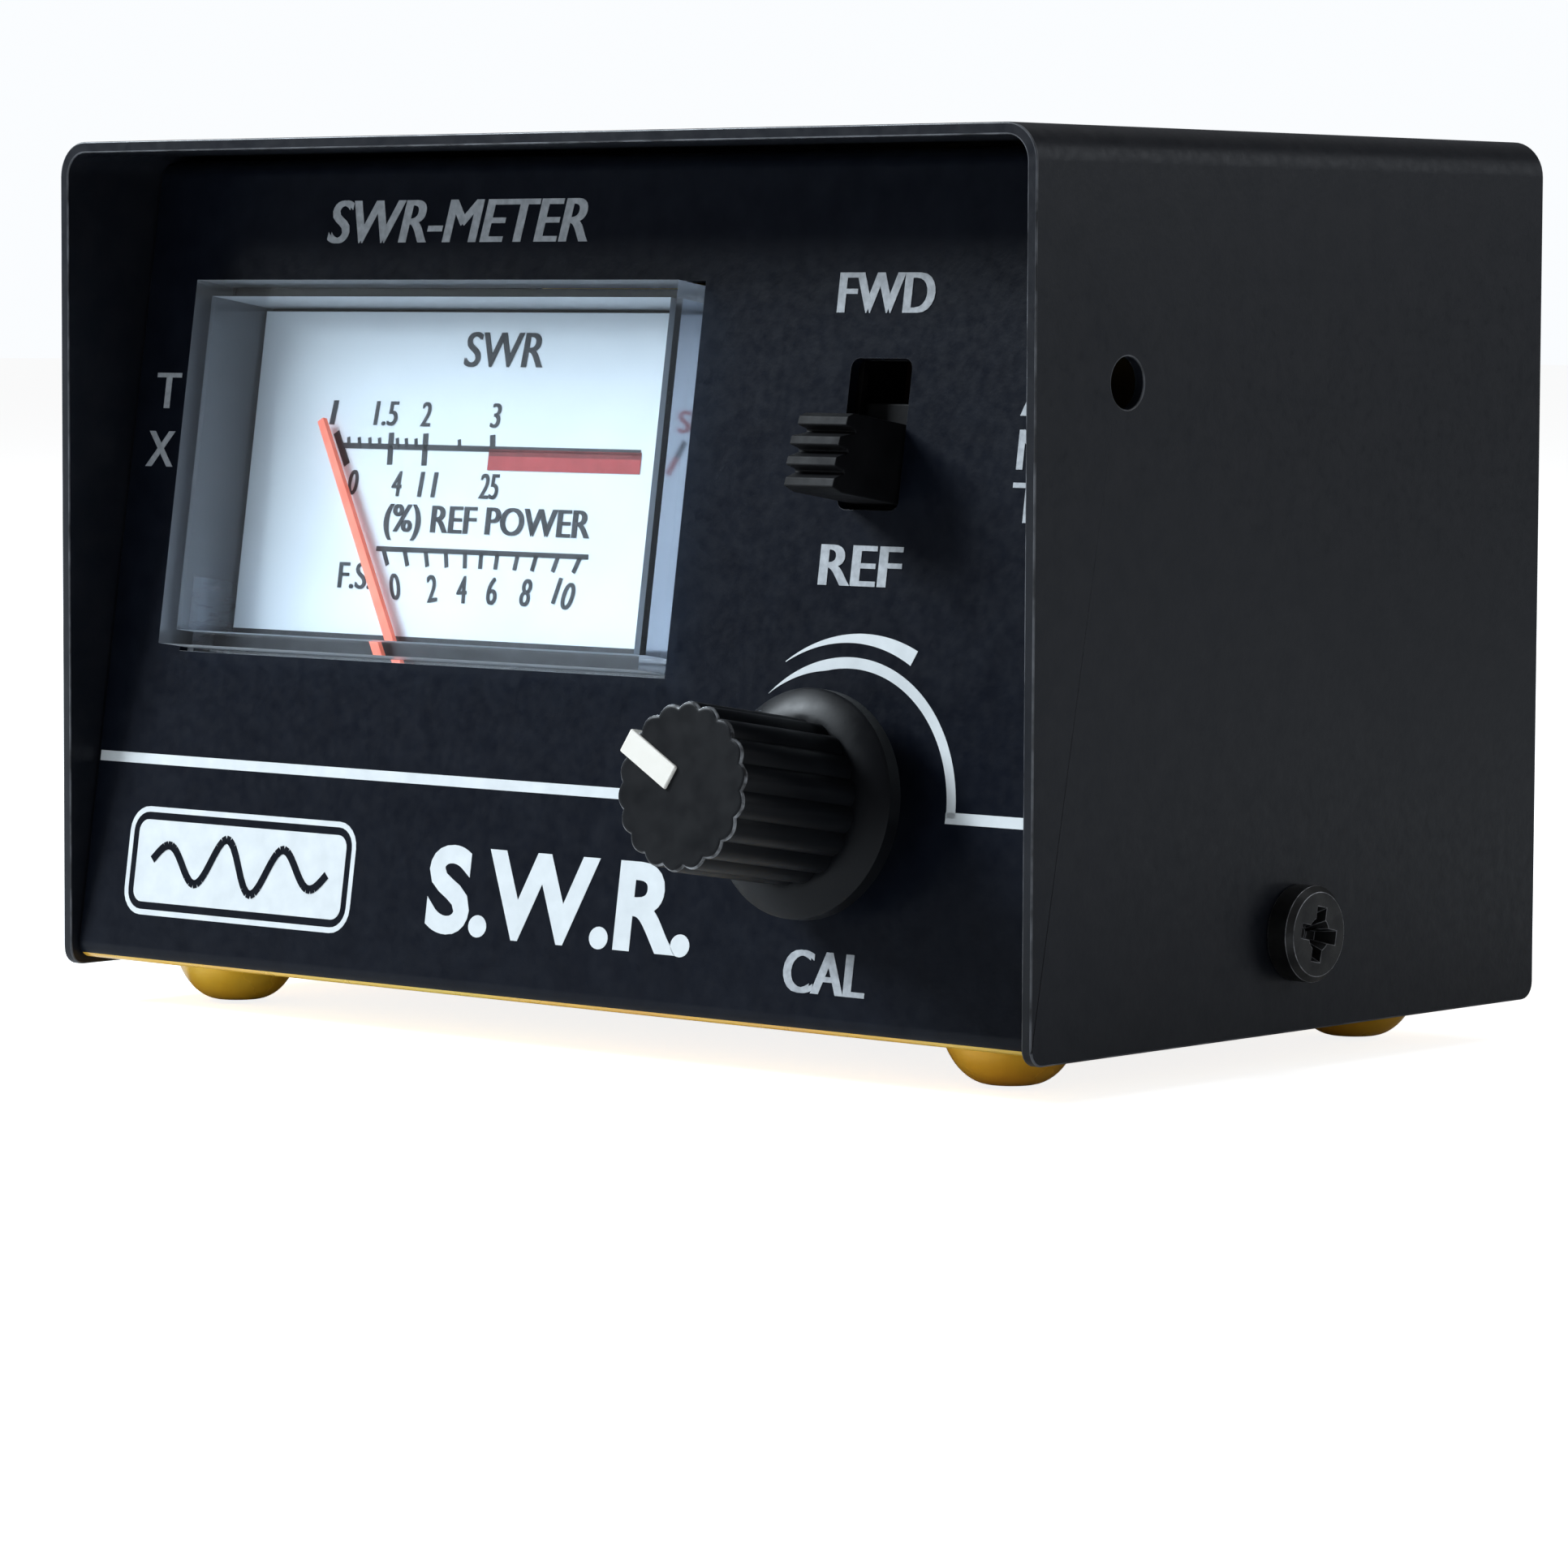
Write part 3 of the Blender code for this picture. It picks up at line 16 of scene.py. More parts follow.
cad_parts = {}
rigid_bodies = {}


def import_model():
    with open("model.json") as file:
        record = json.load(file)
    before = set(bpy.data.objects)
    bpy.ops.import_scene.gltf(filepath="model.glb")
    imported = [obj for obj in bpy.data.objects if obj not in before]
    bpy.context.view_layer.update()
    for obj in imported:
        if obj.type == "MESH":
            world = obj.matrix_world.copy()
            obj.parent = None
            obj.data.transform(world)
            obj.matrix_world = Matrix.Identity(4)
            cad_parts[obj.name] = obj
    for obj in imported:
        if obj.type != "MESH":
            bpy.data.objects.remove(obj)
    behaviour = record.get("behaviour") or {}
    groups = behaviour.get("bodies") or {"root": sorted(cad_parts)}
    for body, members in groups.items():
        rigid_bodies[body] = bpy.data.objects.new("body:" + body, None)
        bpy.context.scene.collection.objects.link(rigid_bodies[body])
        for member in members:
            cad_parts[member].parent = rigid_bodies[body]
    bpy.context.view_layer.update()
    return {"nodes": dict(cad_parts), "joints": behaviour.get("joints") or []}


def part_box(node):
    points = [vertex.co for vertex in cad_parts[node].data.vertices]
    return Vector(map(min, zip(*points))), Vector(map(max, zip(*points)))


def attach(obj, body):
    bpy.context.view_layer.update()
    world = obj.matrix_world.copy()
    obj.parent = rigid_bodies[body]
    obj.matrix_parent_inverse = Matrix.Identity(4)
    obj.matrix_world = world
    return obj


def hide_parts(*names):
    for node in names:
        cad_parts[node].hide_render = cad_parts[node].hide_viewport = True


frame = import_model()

# %% [markdown]
# ## Working in millimetres on a leaning panel
# Almost everything sits on the front panel, which leans back. It is far easier to think in
# "across, up and out of the panel" than in world axes, so each piece is modelled in millimetres in
# such a frame and one matrix carries its mesh into place. The joints already hold the directions:
# the knob turns about "out", and the switch slides along "up".

# %% The places that pieces are modelled in
MM = 0.001
joints = {joint["name"]: joint for joint in frame["joints"]}
PANEL_OUT = Vector(joints["knob_turn"]["axis"]).normalized()
PANEL_UP = Vector(joints["switch_slide"]["axis"]).normalized()
ACROSS = Vector((1, 0, 0))
knob_axis = Vector(joints["knob_turn"]["pos_m"])
KNOB_UP = 15.6          # knob's axis above the panel's lower edge, mm
CONTROL_X = knob_axis.x / MM

panel_place = Matrix((ACROSS, PANEL_UP, PANEL_OUT)).transposed().to_4x4()
panel_place.translation = knob_axis - ACROSS * knob_axis.x - PANEL_UP * KNOB_UP * MM
ON_PANEL = panel_place @ Matrix.Scale(MM, 4)
IN_WORLD = Matrix.Scale(MM, 4)

cover_low, cover_high = [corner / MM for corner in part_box("cover")]
chassis_low, chassis_high = [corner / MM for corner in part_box("chassis")]
MID_Y = (cover_low.y + cover_high.y) / 2
SOCKET_UP = 30.0
rear_place = Matrix(((-1, 0, 0), (0, 0, 1), (0, 1, 0))).to_4x4()
rear_place.translation = Vector((0, chassis_high.y, cover_low.z)) * MM
ON_REAR = rear_place @ Matrix.Scale(MM, 4)
print("cover, mm:", [round(value, 2) for value in cover_high - cover_low])

# %% [markdown]
# ## Camera
# A long lens a little above table height, about forty degrees round to the right of the front.
# The camera is built from its own directions, so its slight roll can be given as one number.

# %% Making the camera
CAMERA_AT = Vector((0.290553, -0.329458, 0.050412))
CAMERA_TURN = math.radians(41.363)
CAMERA_PITCH = math.radians(-4.385)
CAMERA_ROLL = math.radians(0.252)
forward = Vector((-math.sin(CAMERA_TURN) * math.cos(CAMERA_PITCH),
                  math.cos(CAMERA_TURN) * math.cos(CAMERA_PITCH),
                  math.sin(CAMERA_PITCH)))
level = forward.cross(Vector((0, 0, 1))).normalized()
above = level.cross(forward)
right = level * math.cos(CAMERA_ROLL) + above * math.sin(CAMERA_ROLL)
top = above * math.cos(CAMERA_ROLL) - level * math.sin(CAMERA_ROLL)
FOCAL_LENGTH = 141.16
SENSOR_WIDTH = 36.0
lens = bpy.data.cameras.new("camera")
lens.lens = FOCAL_LENGTH
lens.sensor_width = SENSOR_WIDTH
lens.clip_start = 0.01
camera = bpy.data.objects.new("camera", lens)
bpy.context.scene.collection.objects.link(camera)
camera.matrix_world = Matrix((right, top, -forward)).transposed().to_4x4()
camera.location = CAMERA_AT
bpy.context.scene.camera = camera
print("camera at", tuple(round(value, 3) for value in CAMERA_AT))

# %% [markdown]
# ## Helpers for materials
# Real finishes are never one flat colour. Paint has orange peel, plated steel has clouds and
# wipe marks, moulded plastic has a fine grain. One helper lays down the usual chain: noise on
# Object coordinates drives a colour ramp, a roughness range and a bump. Each finish then gives
# only its own numbers, with the scale of its detail in millimetres.

# %% A procedural finish
def noise(tree, place, detail_mm, detail=3.0, stretch=(1, 1, 1), shift=0.0):
    """Noise whose features are about detail_mm across, on Object coordinates."""
    mapping = tree.nodes.new("ShaderNodeMapping")
    mapping.inputs["Scale"].default_value = stretch
    mapping.inputs["Location"].default_value = (shift, shift * 2, shift * 3)
    tree.links.new(place, mapping.inputs["Vector"])
    made = tree.nodes.new("ShaderNodeTexNoise")
    made.inputs["Scale"].default_value = 1 / (detail_mm * MM)
    made.inputs["Detail"].default_value = detail
    tree.links.new(mapping.outputs["Vector"], made.inputs["Vector"])
    return made.outputs["Fac"]


def ramp(tree, source, stops):
    """A colour for each level of a grey source. stops are pairs of level and colour."""
    made = tree.nodes.new("ShaderNodeValToRGB")
    while len(made.color_ramp.elements) < len(stops):
        made.color_ramp.elements.new(0.5)
    for element, (position, colour) in zip(made.color_ramp.elements, stops):
        element.position = position
        element.color = (*colour, 1.0)
    tree.links.new(source, made.inputs["Fac"])
    return made.outputs["Color"]


def spread(tree, source, low, high):
    """Stretches the middle of a noise, where nearly all of it lies, from low to high."""
    made = tree.nodes.new("ShaderNodeMapRange")
    made.inputs["From Min"].default_value = 0.3
    made.inputs["From Max"].default_value = 0.7
    made.inputs["To Min"].default_value = low
    made.inputs["To Max"].default_value = high
    tree.links.new(source, made.inputs["Value"])
    return made.outputs["Result"]


def bumped(tree, shader, source, depth_mm, strength):
    """Lets a grey source tilt a shader's normals, as relief depth_mm deep would."""
    made = tree.nodes.new("ShaderNodeBump")
    made.inputs["Distance"].default_value = depth_mm * MM
    made.inputs["Strength"].default_value = strength
    tree.links.new(source, made.inputs["Height"])
    tree.links.new(made.outputs["Normal"], shader.inputs["Normal"])


print("noise with features of 1 mm has a scale of", 1 / MM)

# %% The whole chain of one finish
PATCH_SHARE = 0.4       # roughness changes over smaller patches than the colour does
PATCH_SHIFT = 0.7       # and they must not lie over the clouds of colour


def finish(name, stops, roughness, clouds_mm, grain_mm, depth_mm, strength=0.5, metallic=0.0,
           stretch=(1, 1, 1), coat=0.0, specular=0.5):
    """A finish: clouded colour, clouded roughness and a fine grain."""
    made = bpy.data.materials.new(name)
    made.use_nodes = True
    tree = made.node_tree
    shader = tree.nodes["Principled BSDF"]
    place = tree.nodes.new("ShaderNodeTexCoord").outputs["Object"]
    shader.inputs["Metallic"].default_value = metallic
    shader.inputs["Coat Weight"].default_value = coat
    shader.inputs["Specular IOR Level"].default_value = specular
    clouds = noise(tree, place, clouds_mm, stretch=stretch)
    tree.links.new(ramp(tree, clouds, stops), shader.inputs["Base Color"])
    patches = noise(tree, place, clouds_mm * PATCH_SHARE, stretch=stretch, shift=PATCH_SHIFT)
    tree.links.new(spread(tree, patches, *roughness), shader.inputs["Roughness"])
    bumped(tree, shader, noise(tree, place, grain_mm, 2.0, stretch), depth_mm, strength)
    return made


print("materials before the first finish:", len(bpy.data.materials))

# %% [markdown]
# ## Paints, plastics and metals
# The cover and the front are stoved black enamel with a slight orange peel and a blue cast. The
# unpainted chassis is zinc with a yellow passivation that drifts from green to orange. Moulded
# parts are black styrene and phenolic, and the connectors are nickel over brass.

# %% Black finishes
enamel = finish("black_enamel", [(0.3, (0.007, 0.0085, 0.013)), (0.7, (0.0115, 0.0125, 0.017))],
                (0.30, 0.44), 2.0, 0.42, 0.016, 0.6, specular=0.23)
panel_enamel = finish("panel_enamel",
                      [(0.3, (0.0035, 0.005, 0.010)), (0.7, (0.0065, 0.0085, 0.0145))],
                      (0.28, 0.38), 2.0, 0.38, 0.016, 0.55, specular=0.12)
knob_black = finish("knob_black", [(0.3, (0.004, 0.0045, 0.006)), (0.7, (0.006, 0.0065, 0.008))],
                    (0.34, 0.46), 4.0, 0.2, 0.006, 0.4, specular=0.16)
# painted highlight: a mottled grey for the faces round the knob's rim
rim_painted_highlight = finish("rim_painted_highlight", [(0.38, (0.01, 0.01, 0.012)), (0.66, (0.3, 0.31, 0.33))],
                  (0.25, 0.4), 0.9, 0.2, 0.01, 0.5)
switch_black = finish("switch_black", [(0.3, (0.006, 0.006, 0.007)), (0.7, (0.013, 0.013, 0.014))],
                      (0.5, 0.62), 3.0, 0.2, 0.008, 0.5, specular=0.1)
moulded_black = finish("moulded_black", [(0.3, (0.012, 0.012, 0.013)), (0.7, (0.02, 0.02, 0.021))],
                       (0.42, 0.55), 6.0, 0.3, 0.02, 0.5)
# painted highlight: a lighter, mottled grey enamel for the faces of the edge bevel on the cover and
# the chassis
enamel_painted_highlight = finish("enamel_painted_highlight", [(0.36, (0.012, 0.013, 0.017)), (0.66, (0.13, 0.135, 0.15))],
                       (0.3, 0.42), 2.2, 0.2, 0.01, 0.5)
# painted highlight: a brighter grey steel for the faces of the screws' edge bevel, outlining rim and
# cross
steel_painted_highlight = finish("steel_painted_highlight", [(0.32, (0.06, 0.06, 0.062)), (0.68, (0.36, 0.36, 0.38))],
                      (0.25, 0.4), 0.8, 0.15, 0.01, 0.5, metallic=0.3)
black_oxide = finish("black_oxide", [(0.3, (0.02, 0.02, 0.021)), (0.7, (0.045, 0.044, 0.043))],
                     (0.3, 0.45), 1.6, 0.18, 0.01, 0.5, metallic=0.75)
print("black finishes made")

# %% Metals
zinc = finish("yellow_zinc",
              [(0.25, (0.88, 0.66, 0.09)), (0.42, (0.95, 0.63, 0.06)), (0.58, (0.98, 0.56, 0.05)),
               (0.78, (0.93, 0.47, 0.06))],
              (0.24, 0.36), 11.0, 0.5, 0.015, 0.4, metallic=0.2, coat=0.4)
nickel = finish("nickel", [(0.3, (0.56, 0.53, 0.46)), (0.7, (0.72, 0.69, 0.62))],
                (0.16, 0.3), 3.0, 0.3, 0.006, 0.4, metallic=1.0)
steel = finish("bright_steel", [(0.3, (0.5, 0.51, 0.52)), (0.7, (0.66, 0.67, 0.68))],
               (0.22, 0.4), 4.0, 0.25, 0.01, 0.4, metallic=1.0, stretch=(1, 1, 6))
iron = finish("soft_iron", [(0.3, (0.24, 0.24, 0.25)), (0.7, (0.4, 0.4, 0.41))],
              (0.35, 0.5), 2.0, 0.2, 0.02, 0.5, metallic=1.0)
brass = finish("brass", [(0.3, (0.62, 0.42, 0.14)), (0.7, (0.8, 0.6, 0.26))],
               (0.2, 0.36), 2.0, 0.2, 0.01, 0.4, metallic=1.0)
copper = finish("enamelled_copper", [(0.3, (0.42, 0.13, 0.05)), (0.7, (0.62, 0.24, 0.1))],
                (0.25, 0.4), 2.0, 0.16, 0.02, 0.6, metallic=0.9, stretch=(1, 1, 4))
print("metals made")

# %% The dial's and the panel's finishes
dial_white = finish("dial_white", [(0.3, (0.76, 0.81, 0.87)), (0.7, (0.82, 0.87, 0.92))], (0.4, 0.52),
                    9.0, 0.3, 0.004, 0.3)
dial_black = finish("dial_black", [(0.3, (0.012, 0.014, 0.02)), (0.7, (0.03, 0.033, 0.042))],
                    (0.4, 0.55), 1.5, 0.2, 0.004, 0.3)
dial_red = finish("dial_red", [(0.3, (0.36, 0.03, 0.035)), (0.7, (0.46, 0.045, 0.05))],
                  (0.4, 0.55), 1.5, 0.2, 0.004, 0.3)
dial_dark_red = finish("dial_dark_red", [(0.3, (0.16, 0.012, 0.015)), (0.7, (0.22, 0.02, 0.022))],
                       (0.4, 0.55), 1.5, 0.2, 0.004, 0.3)
pointer_red = finish("pointer_red", [(0.3, (0.92, 0.16, 0.1)), (0.7, (0.98, 0.24, 0.16))], (0.35, 0.5),
                     2.0, 0.2, 0.006, 0.3)
POINTER_GLOW = 0.3      # painted glow: the pointer gives off a little light of its own, whatever light falls on it
pointer_shader = pointer_red.node_tree.nodes["Principled BSDF"]
pointer_shader.inputs["Emission Color"].default_value = (1.0, 0.22, 0.14, 1.0)
pointer_shader.inputs["Emission Strength"].default_value = POINTER_GLOW
panel_ink = finish("panel_ink", [(0.3, (0.34, 0.36, 0.39)), (0.7, (0.5, 0.53, 0.56))], (0.45, 0.6),
                   0.5, 0.12, 0.008, 0.5)
bright_ink = finish("bright_ink", [(0.3, (0.72, 0.76, 0.78)), (0.7, (0.8, 0.84, 0.86))], (0.42, 0.55),
                    1.5, 0.18, 0.008, 0.4)
marker_white = finish("marker_white", [(0.3, (0.92, 0.88, 0.8)), (0.7, (0.96, 0.92, 0.85))],
                      (0.3, 0.42), 2.0, 0.2, 0.006, 0.3)
print("dial, ink and marker finishes made")

# %% Finishes of the parts inside
phenolic = finish("brown_phenolic", [(0.3, (0.022, 0.01, 0.006)), (0.7, (0.04, 0.018, 0.01))],
                  (0.4, 0.6), 1.2, 0.15, 0.01, 0.5)
board = finish("circuit_board", [(0.3, (0.3, 0.18, 0.06)), (0.7, (0.44, 0.28, 0.11))],
               (0.4, 0.6), 1.6, 0.15, 0.01, 0.5)
insulator = finish("white_insulator", [(0.3, (0.76, 0.74, 0.68)), (0.7, (0.86, 0.84, 0.79))],
                   (0.35, 0.5), 2.0, 0.2, 0.008, 0.4)
diode_glass = finish("diode_glass", [(0.3, (0.6, 0.18, 0.04)), (0.7, (0.8, 0.3, 0.08))],
                     (0.1, 0.2), 1.0, 0.2, 0.004, 0.3, coat=0.6)
lacquer = finish("resistor_lacquer", [(0.3, (0.6, 0.45, 0.25)), (0.7, (0.72, 0.56, 0.34))],
                 (0.35, 0.5), 1.0, 0.2, 0.01, 0.4)
ceramic = finish("dipped_ceramic", [(0.3, (0.55, 0.26, 0.07)), (0.7, (0.68, 0.36, 0.12))],
                 (0.3, 0.5), 1.0, 0.2, 0.01, 0.4)
print("finishes so far:", len(bpy.data.materials))

# %% Wire coverings
WIRES = {"meter_lead_plus": (0.55, 0.02, 0.015), "meter_lead_minus": (0.015, 0.015, 0.016),
         "forward_lead": (0.02, 0.09, 0.42), "reflected_lead": (0.7, 0.5, 0.04)}
wire_finish = {}
for wire_name, colour in WIRES.items():
    darker = tuple(value * 0.75 for value in colour)
    wire_finish[wire_name] = finish("pvc_" + wire_name, [(0.3, darker), (0.7, colour)],
                                    (0.3, 0.45), 3.0, 0.3, 0.01, 0.4)
print("wire coverings:", len(wire_finish))

# %% [markdown]
# ## Clear styrene
# The window is a real thick-walled moulding, so it is given glass with styrene's high index. Light
# from the lamps could not reach the dial through a refracting wall, so rays that look for lamps pass
# straight through it, which is the usual way to keep a dial bright behind its window.

# %% The clear moulding's material
clear = bpy.data.materials.new("clear_styrene")
clear.use_nodes = True
tree = clear.node_tree
shader = tree.nodes["Principled BSDF"]
STYRENE_IOR = 1.57
shader.inputs["Base Color"].default_value = (0.93, 0.96, 0.97, 1.0)
shader.inputs["Roughness"].default_value = 0.03
shader.inputs["IOR"].default_value = STYRENE_IOR
shader.inputs["Transmission Weight"].default_value = 1.0
place = tree.nodes.new("ShaderNodeTexCoord").outputs["Object"]
bumped(tree, shader, noise(tree, place, 9.0, 1.0), 0.02, 0.15)
passing = tree.nodes.new("ShaderNodeBsdfTransparent")
passing.inputs["Color"].default_value = (0.9, 0.93, 0.95, 1.0)
light_path = tree.nodes.new("ShaderNodeLightPath")
blend = tree.nodes.new("ShaderNodeMixShader")
tree.links.new(light_path.outputs["Is Shadow Ray"], blend.inputs["Fac"])
tree.links.new(shader.outputs["BSDF"], blend.inputs[1])
tree.links.new(passing.outputs["BSDF"], blend.inputs[2])
tree.links.new(blend.outputs["Shader"], tree.nodes["Material Output"].inputs["Surface"])
print("clear styrene nodes:", len(tree.nodes))


# %% Less polished sides of the same moulding, and a painted highlight for its edges
def haze_and_highlight(name, colour, roughness, transmission):
    """The clear moulding with its own colour, roughness and transmission: duller where its mould was
    not polished, and near-white on the edges as a painted highlight.
    """
    made = clear.copy()
    made.name = name
    dull = made.node_tree.nodes["Principled BSDF"]
    dull.inputs["Base Color"].default_value = (*colour, 1.0)
    dull.inputs["Roughness"].default_value = roughness
    dull.inputs["Transmission Weight"].default_value = transmission
    return made


cloudy = haze_and_highlight("styrene_walls", (0.46, 0.5, 0.57), 0.12, 0.82)
scattering = haze_and_highlight("styrene_sill", (0.74, 0.78, 0.83), 0.22, 0.22)
# painted highlight: a near-white, barely clear styrene for the faces of the window's edge bevel
edge_painted_highlight = haze_and_highlight("styrene_painted_highlight", (0.93, 0.97, 0.98), 0.25, 0.2)
print("clear styrene made, with", len((cloudy, scattering, edge_painted_highlight)), "duller kinds")

# %% [markdown]
# ## Helpers for shapes
# A piece starts as a bmesh in millimetres. `piece` carries it into place, turns its faces outwards,
# smooths it up to a chosen angle, hangs it on the body it rides on, and hides the CAD solid it stands
# for. Holes are cut by a Boolean that is settled at once, so no cutter is left behind. A small live
# bevel with hardened normals then gives each edge the thin highlight that real edges have.
# On the cover, the chassis, the screws and the window the bevel's own faces also take a lighter
# finish, a painted highlight along the edges.

# %% Turning a bmesh into a finished piece
def shaded(mesh, angle=32):
    """Smooth faces, with creases wherever they turn by more than angle degrees."""
    mesh.polygons.foreach_set("use_smooth", [True] * len(mesh.polygons))
    mesh.set_sharp_from_angle(angle=math.radians(angle))


def loose(name, shape, place=IN_WORLD):
    """An object in place, not yet riding on anything."""
    bmesh.ops.recalc_face_normals(shape, faces=shape.faces)
    shape.transform(place)
    mesh = bpy.data.meshes.new(name)
    shape.to_mesh(mesh)
    shape.free()
    made = bpy.data.objects.new(name, mesh)
    bpy.context.scene.collection.objects.link(made)
    return made


def shown_mesh(made):
    """A new mesh of what an object shows, with its modifiers applied."""
    bpy.context.view_layer.update()
    ready = made.evaluated_get(bpy.context.evaluated_depsgraph_get())
    return bpy.data.meshes.new_from_object(ready)


def settle(made):
    """Bakes an object's modifiers into its mesh."""
    mesh = shown_mesh(made)
    made.modifiers.clear()
    made.data = mesh
    return made


def cut(made, *tools, operation="DIFFERENCE"):
    """Cuts shapes, already in place, out of an object, or welds them on."""
    for tool in tools:
        step = made.modifiers.new("cut", "BOOLEAN")
        step.operation = operation
        step.solver = "EXACT"
        step.object = tool
    settle(made)
    for tool in tools:
        bpy.data.objects.remove(tool, do_unlink=True)
    return made


print("a millimetre is carried into place as, m:", MM)


# %% Softening edges, and handing a piece to the frame
def edges(made, width_mm, segments=2, angle=35, finish_at=-1):
    """A live bevel. finish_at is the material slot that the bevel's own faces take."""
    step = made.modifiers.new("edges", "BEVEL")
    step.material = finish_at
    step.width = width_mm * MM
    step.segments = segments
    step.limit_method = "ANGLE"
    step.angle_limit = math.radians(angle)
    step.harden_normals = True
    return made


def piece(made, material, body="case", instead=(), angle=32):
    """Gives a piece its finish and its body, and hides the CAD solids that it stands for."""
    made.data.materials.clear()
    made.data.materials.append(material)
    shaded(made.data, angle)
    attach(made, body)
    if instead:
        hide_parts(*instead)
    print(made.name, "on", body, len(made.data.polygons), "faces")
    return made


# %% Small shapes that come back again and again
def cuboid(low, high):
    """A block between two opposite corners."""
    shape = bmesh.new()
    size = Vector(high) - Vector(low)
    middle = (Vector(high) + Vector(low)) / 2
    bmesh.ops.create_cube(shape, size=1.0,
                          matrix=Matrix.Translation(middle) @ Matrix.Diagonal((*size, 1.0)))
    return shape


def spun(profile, steps=64, centre=(0, 0)):
    """A closed (radius, height) outline turned once about the Z axis."""
    shape = bmesh.new()
    points = [shape.verts.new((radius, 0, height)) for radius, height in profile]
    lines = [shape.edges.new(pair) for pair in zip(points, points[1:])]
    if profile[0][0] > 0 and profile[-1][0] > 0:
        lines.append(shape.edges.new((points[-1], points[0])))
    bmesh.ops.spin(shape, geom=points + lines, cent=(0, 0, 0), axis=(0, 0, 1), angle=math.tau,
                   steps=steps, use_merge=True)
    bmesh.ops.remove_doubles(shape, verts=shape.verts, dist=0.0005)
    bmesh.ops.translate(shape, vec=(*centre, 0), verts=shape.verts)
    return shape


def rod(radius, low, high, steps, centre=(0, 0)):
    """A plain round bar along Z, mostly used as a drill."""
    return spun([(0, high), (radius, high), (radius, low), (0, low)], steps, centre)


def drawn_out(shape, faces, height):
    """Draws flat faces out along Z, with walls behind them."""
    drawn = bmesh.ops.extrude_face_region(shape, geom=faces)
    moved = [item for item in drawn["geom"] if isinstance(item, bmesh.types.BMVert)]
    bmesh.ops.translate(shape, vec=(0, 0, height), verts=moved)
    return shape


def prism(corners, low, high):
    """A flat outline in XY drawn from low to high along Z."""
    shape = bmesh.new()
    face = shape.faces.new([shape.verts.new((*corner, low)) for corner in corners])
    return drawn_out(shape, [face], high - low)


print("a rod of 16 steps has", len(rod(1, 0, 1, 16).faces), "faces")


# %% Rounding corners
def corner_edges(shape, direction):
    """The edges that run along a direction, for rounding the corners between them."""
    return [edge for edge in shape.edges
            if abs((edge.verts[1].co - edge.verts[0].co).normalized().dot(Vector(direction))) > 0.999]


def round_off(shape, chosen, width, segments=4):
    """Rounds chosen edges for good, before the shape becomes an object."""
    bmesh.ops.bevel(shape, geom=chosen, offset=width, segments=segments, profile=0.5,
                    affect="EDGES", material=-1)
    return shape


print("a block has", len(corner_edges(cuboid((0, 0, 0), (1, 1, 1)), (0, 0, 1))), "upright edges")

# %% [markdown]
# ## Bent sheet
# The cover and the chassis are both one strip of 0.8 mm steel, folded on a press. The way to model
# such a part is the way it is made: draw the strip's path, pull it out to its width, round the folds,
# and only then give it its thickness, always towards the inside.

# %% Folding a strip
SHEET = 0.8             # thickness of the steel, mm


def folded(path, along, bend, segments=10):
    """A strip pulled out along a vector from a path of points, with its folds rounded."""
    shape = bmesh.new()
    points = [shape.verts.new(point) for point in path]
    lines = [shape.edges.new(pair) for pair in zip(points, points[1:])]
    drawn = bmesh.ops.extrude_edge_only(shape, edges=lines)
    moved = [item for item in drawn["geom"] if isinstance(item, bmesh.types.BMVert)]
    bmesh.ops.translate(shape, vec=along, verts=moved)
    folds = [edge for edge in shape.edges if len(edge.link_faces) == 2]
    return round_off(shape, folds, bend, segments)


def walled(made, outer_face, outward):
    """Gives a strip its wall on the inside. outward is where outer_face should look."""
    if outer_face.normal.dot(Vector(outward)) < 0:
        made.data.flip_normals()
    wall = made.modifiers.new("wall", "SOLIDIFY")
    wall.thickness = SHEET * MM
    wall.offset = -1
    wall.use_even_offset = True
    settle(made)
    print(made.name, "has its wall:", len(made.data.polygons), "faces")


print("steel sheet, mm:", SHEET)

# %% [markdown]
# ## Cover
# An upside-down U of black enamelled steel. Its lower corners are clipped round, a small hole goes
# through each side, and the two fixing screws pass through a hole that their heads hide.

# %% Folding the cover
COVER_BEND = 2.5
COVER_CORNER = 1.2
depth = cover_high.y - cover_low.y
strip = folded([(cover_low.x, cover_low.y, cover_low.z), (cover_low.x, cover_low.y, cover_high.z),
                (cover_high.x, cover_low.y, cover_high.z), (cover_high.x, cover_low.y, cover_low.z)],
               (0, depth, 0), COVER_BEND)
tips = [vert for vert in strip.verts if vert.co.z < cover_low.z + 0.1]
bmesh.ops.bevel(strip, geom=tips, offset=COVER_CORNER, segments=6, profile=0.5, affect="VERTICES",
                material=-1)
cover = loose("cover_shell", strip)
walled(cover, max(cover.data.polygons, key=lambda face: face.center.z), (0, 0, 1))

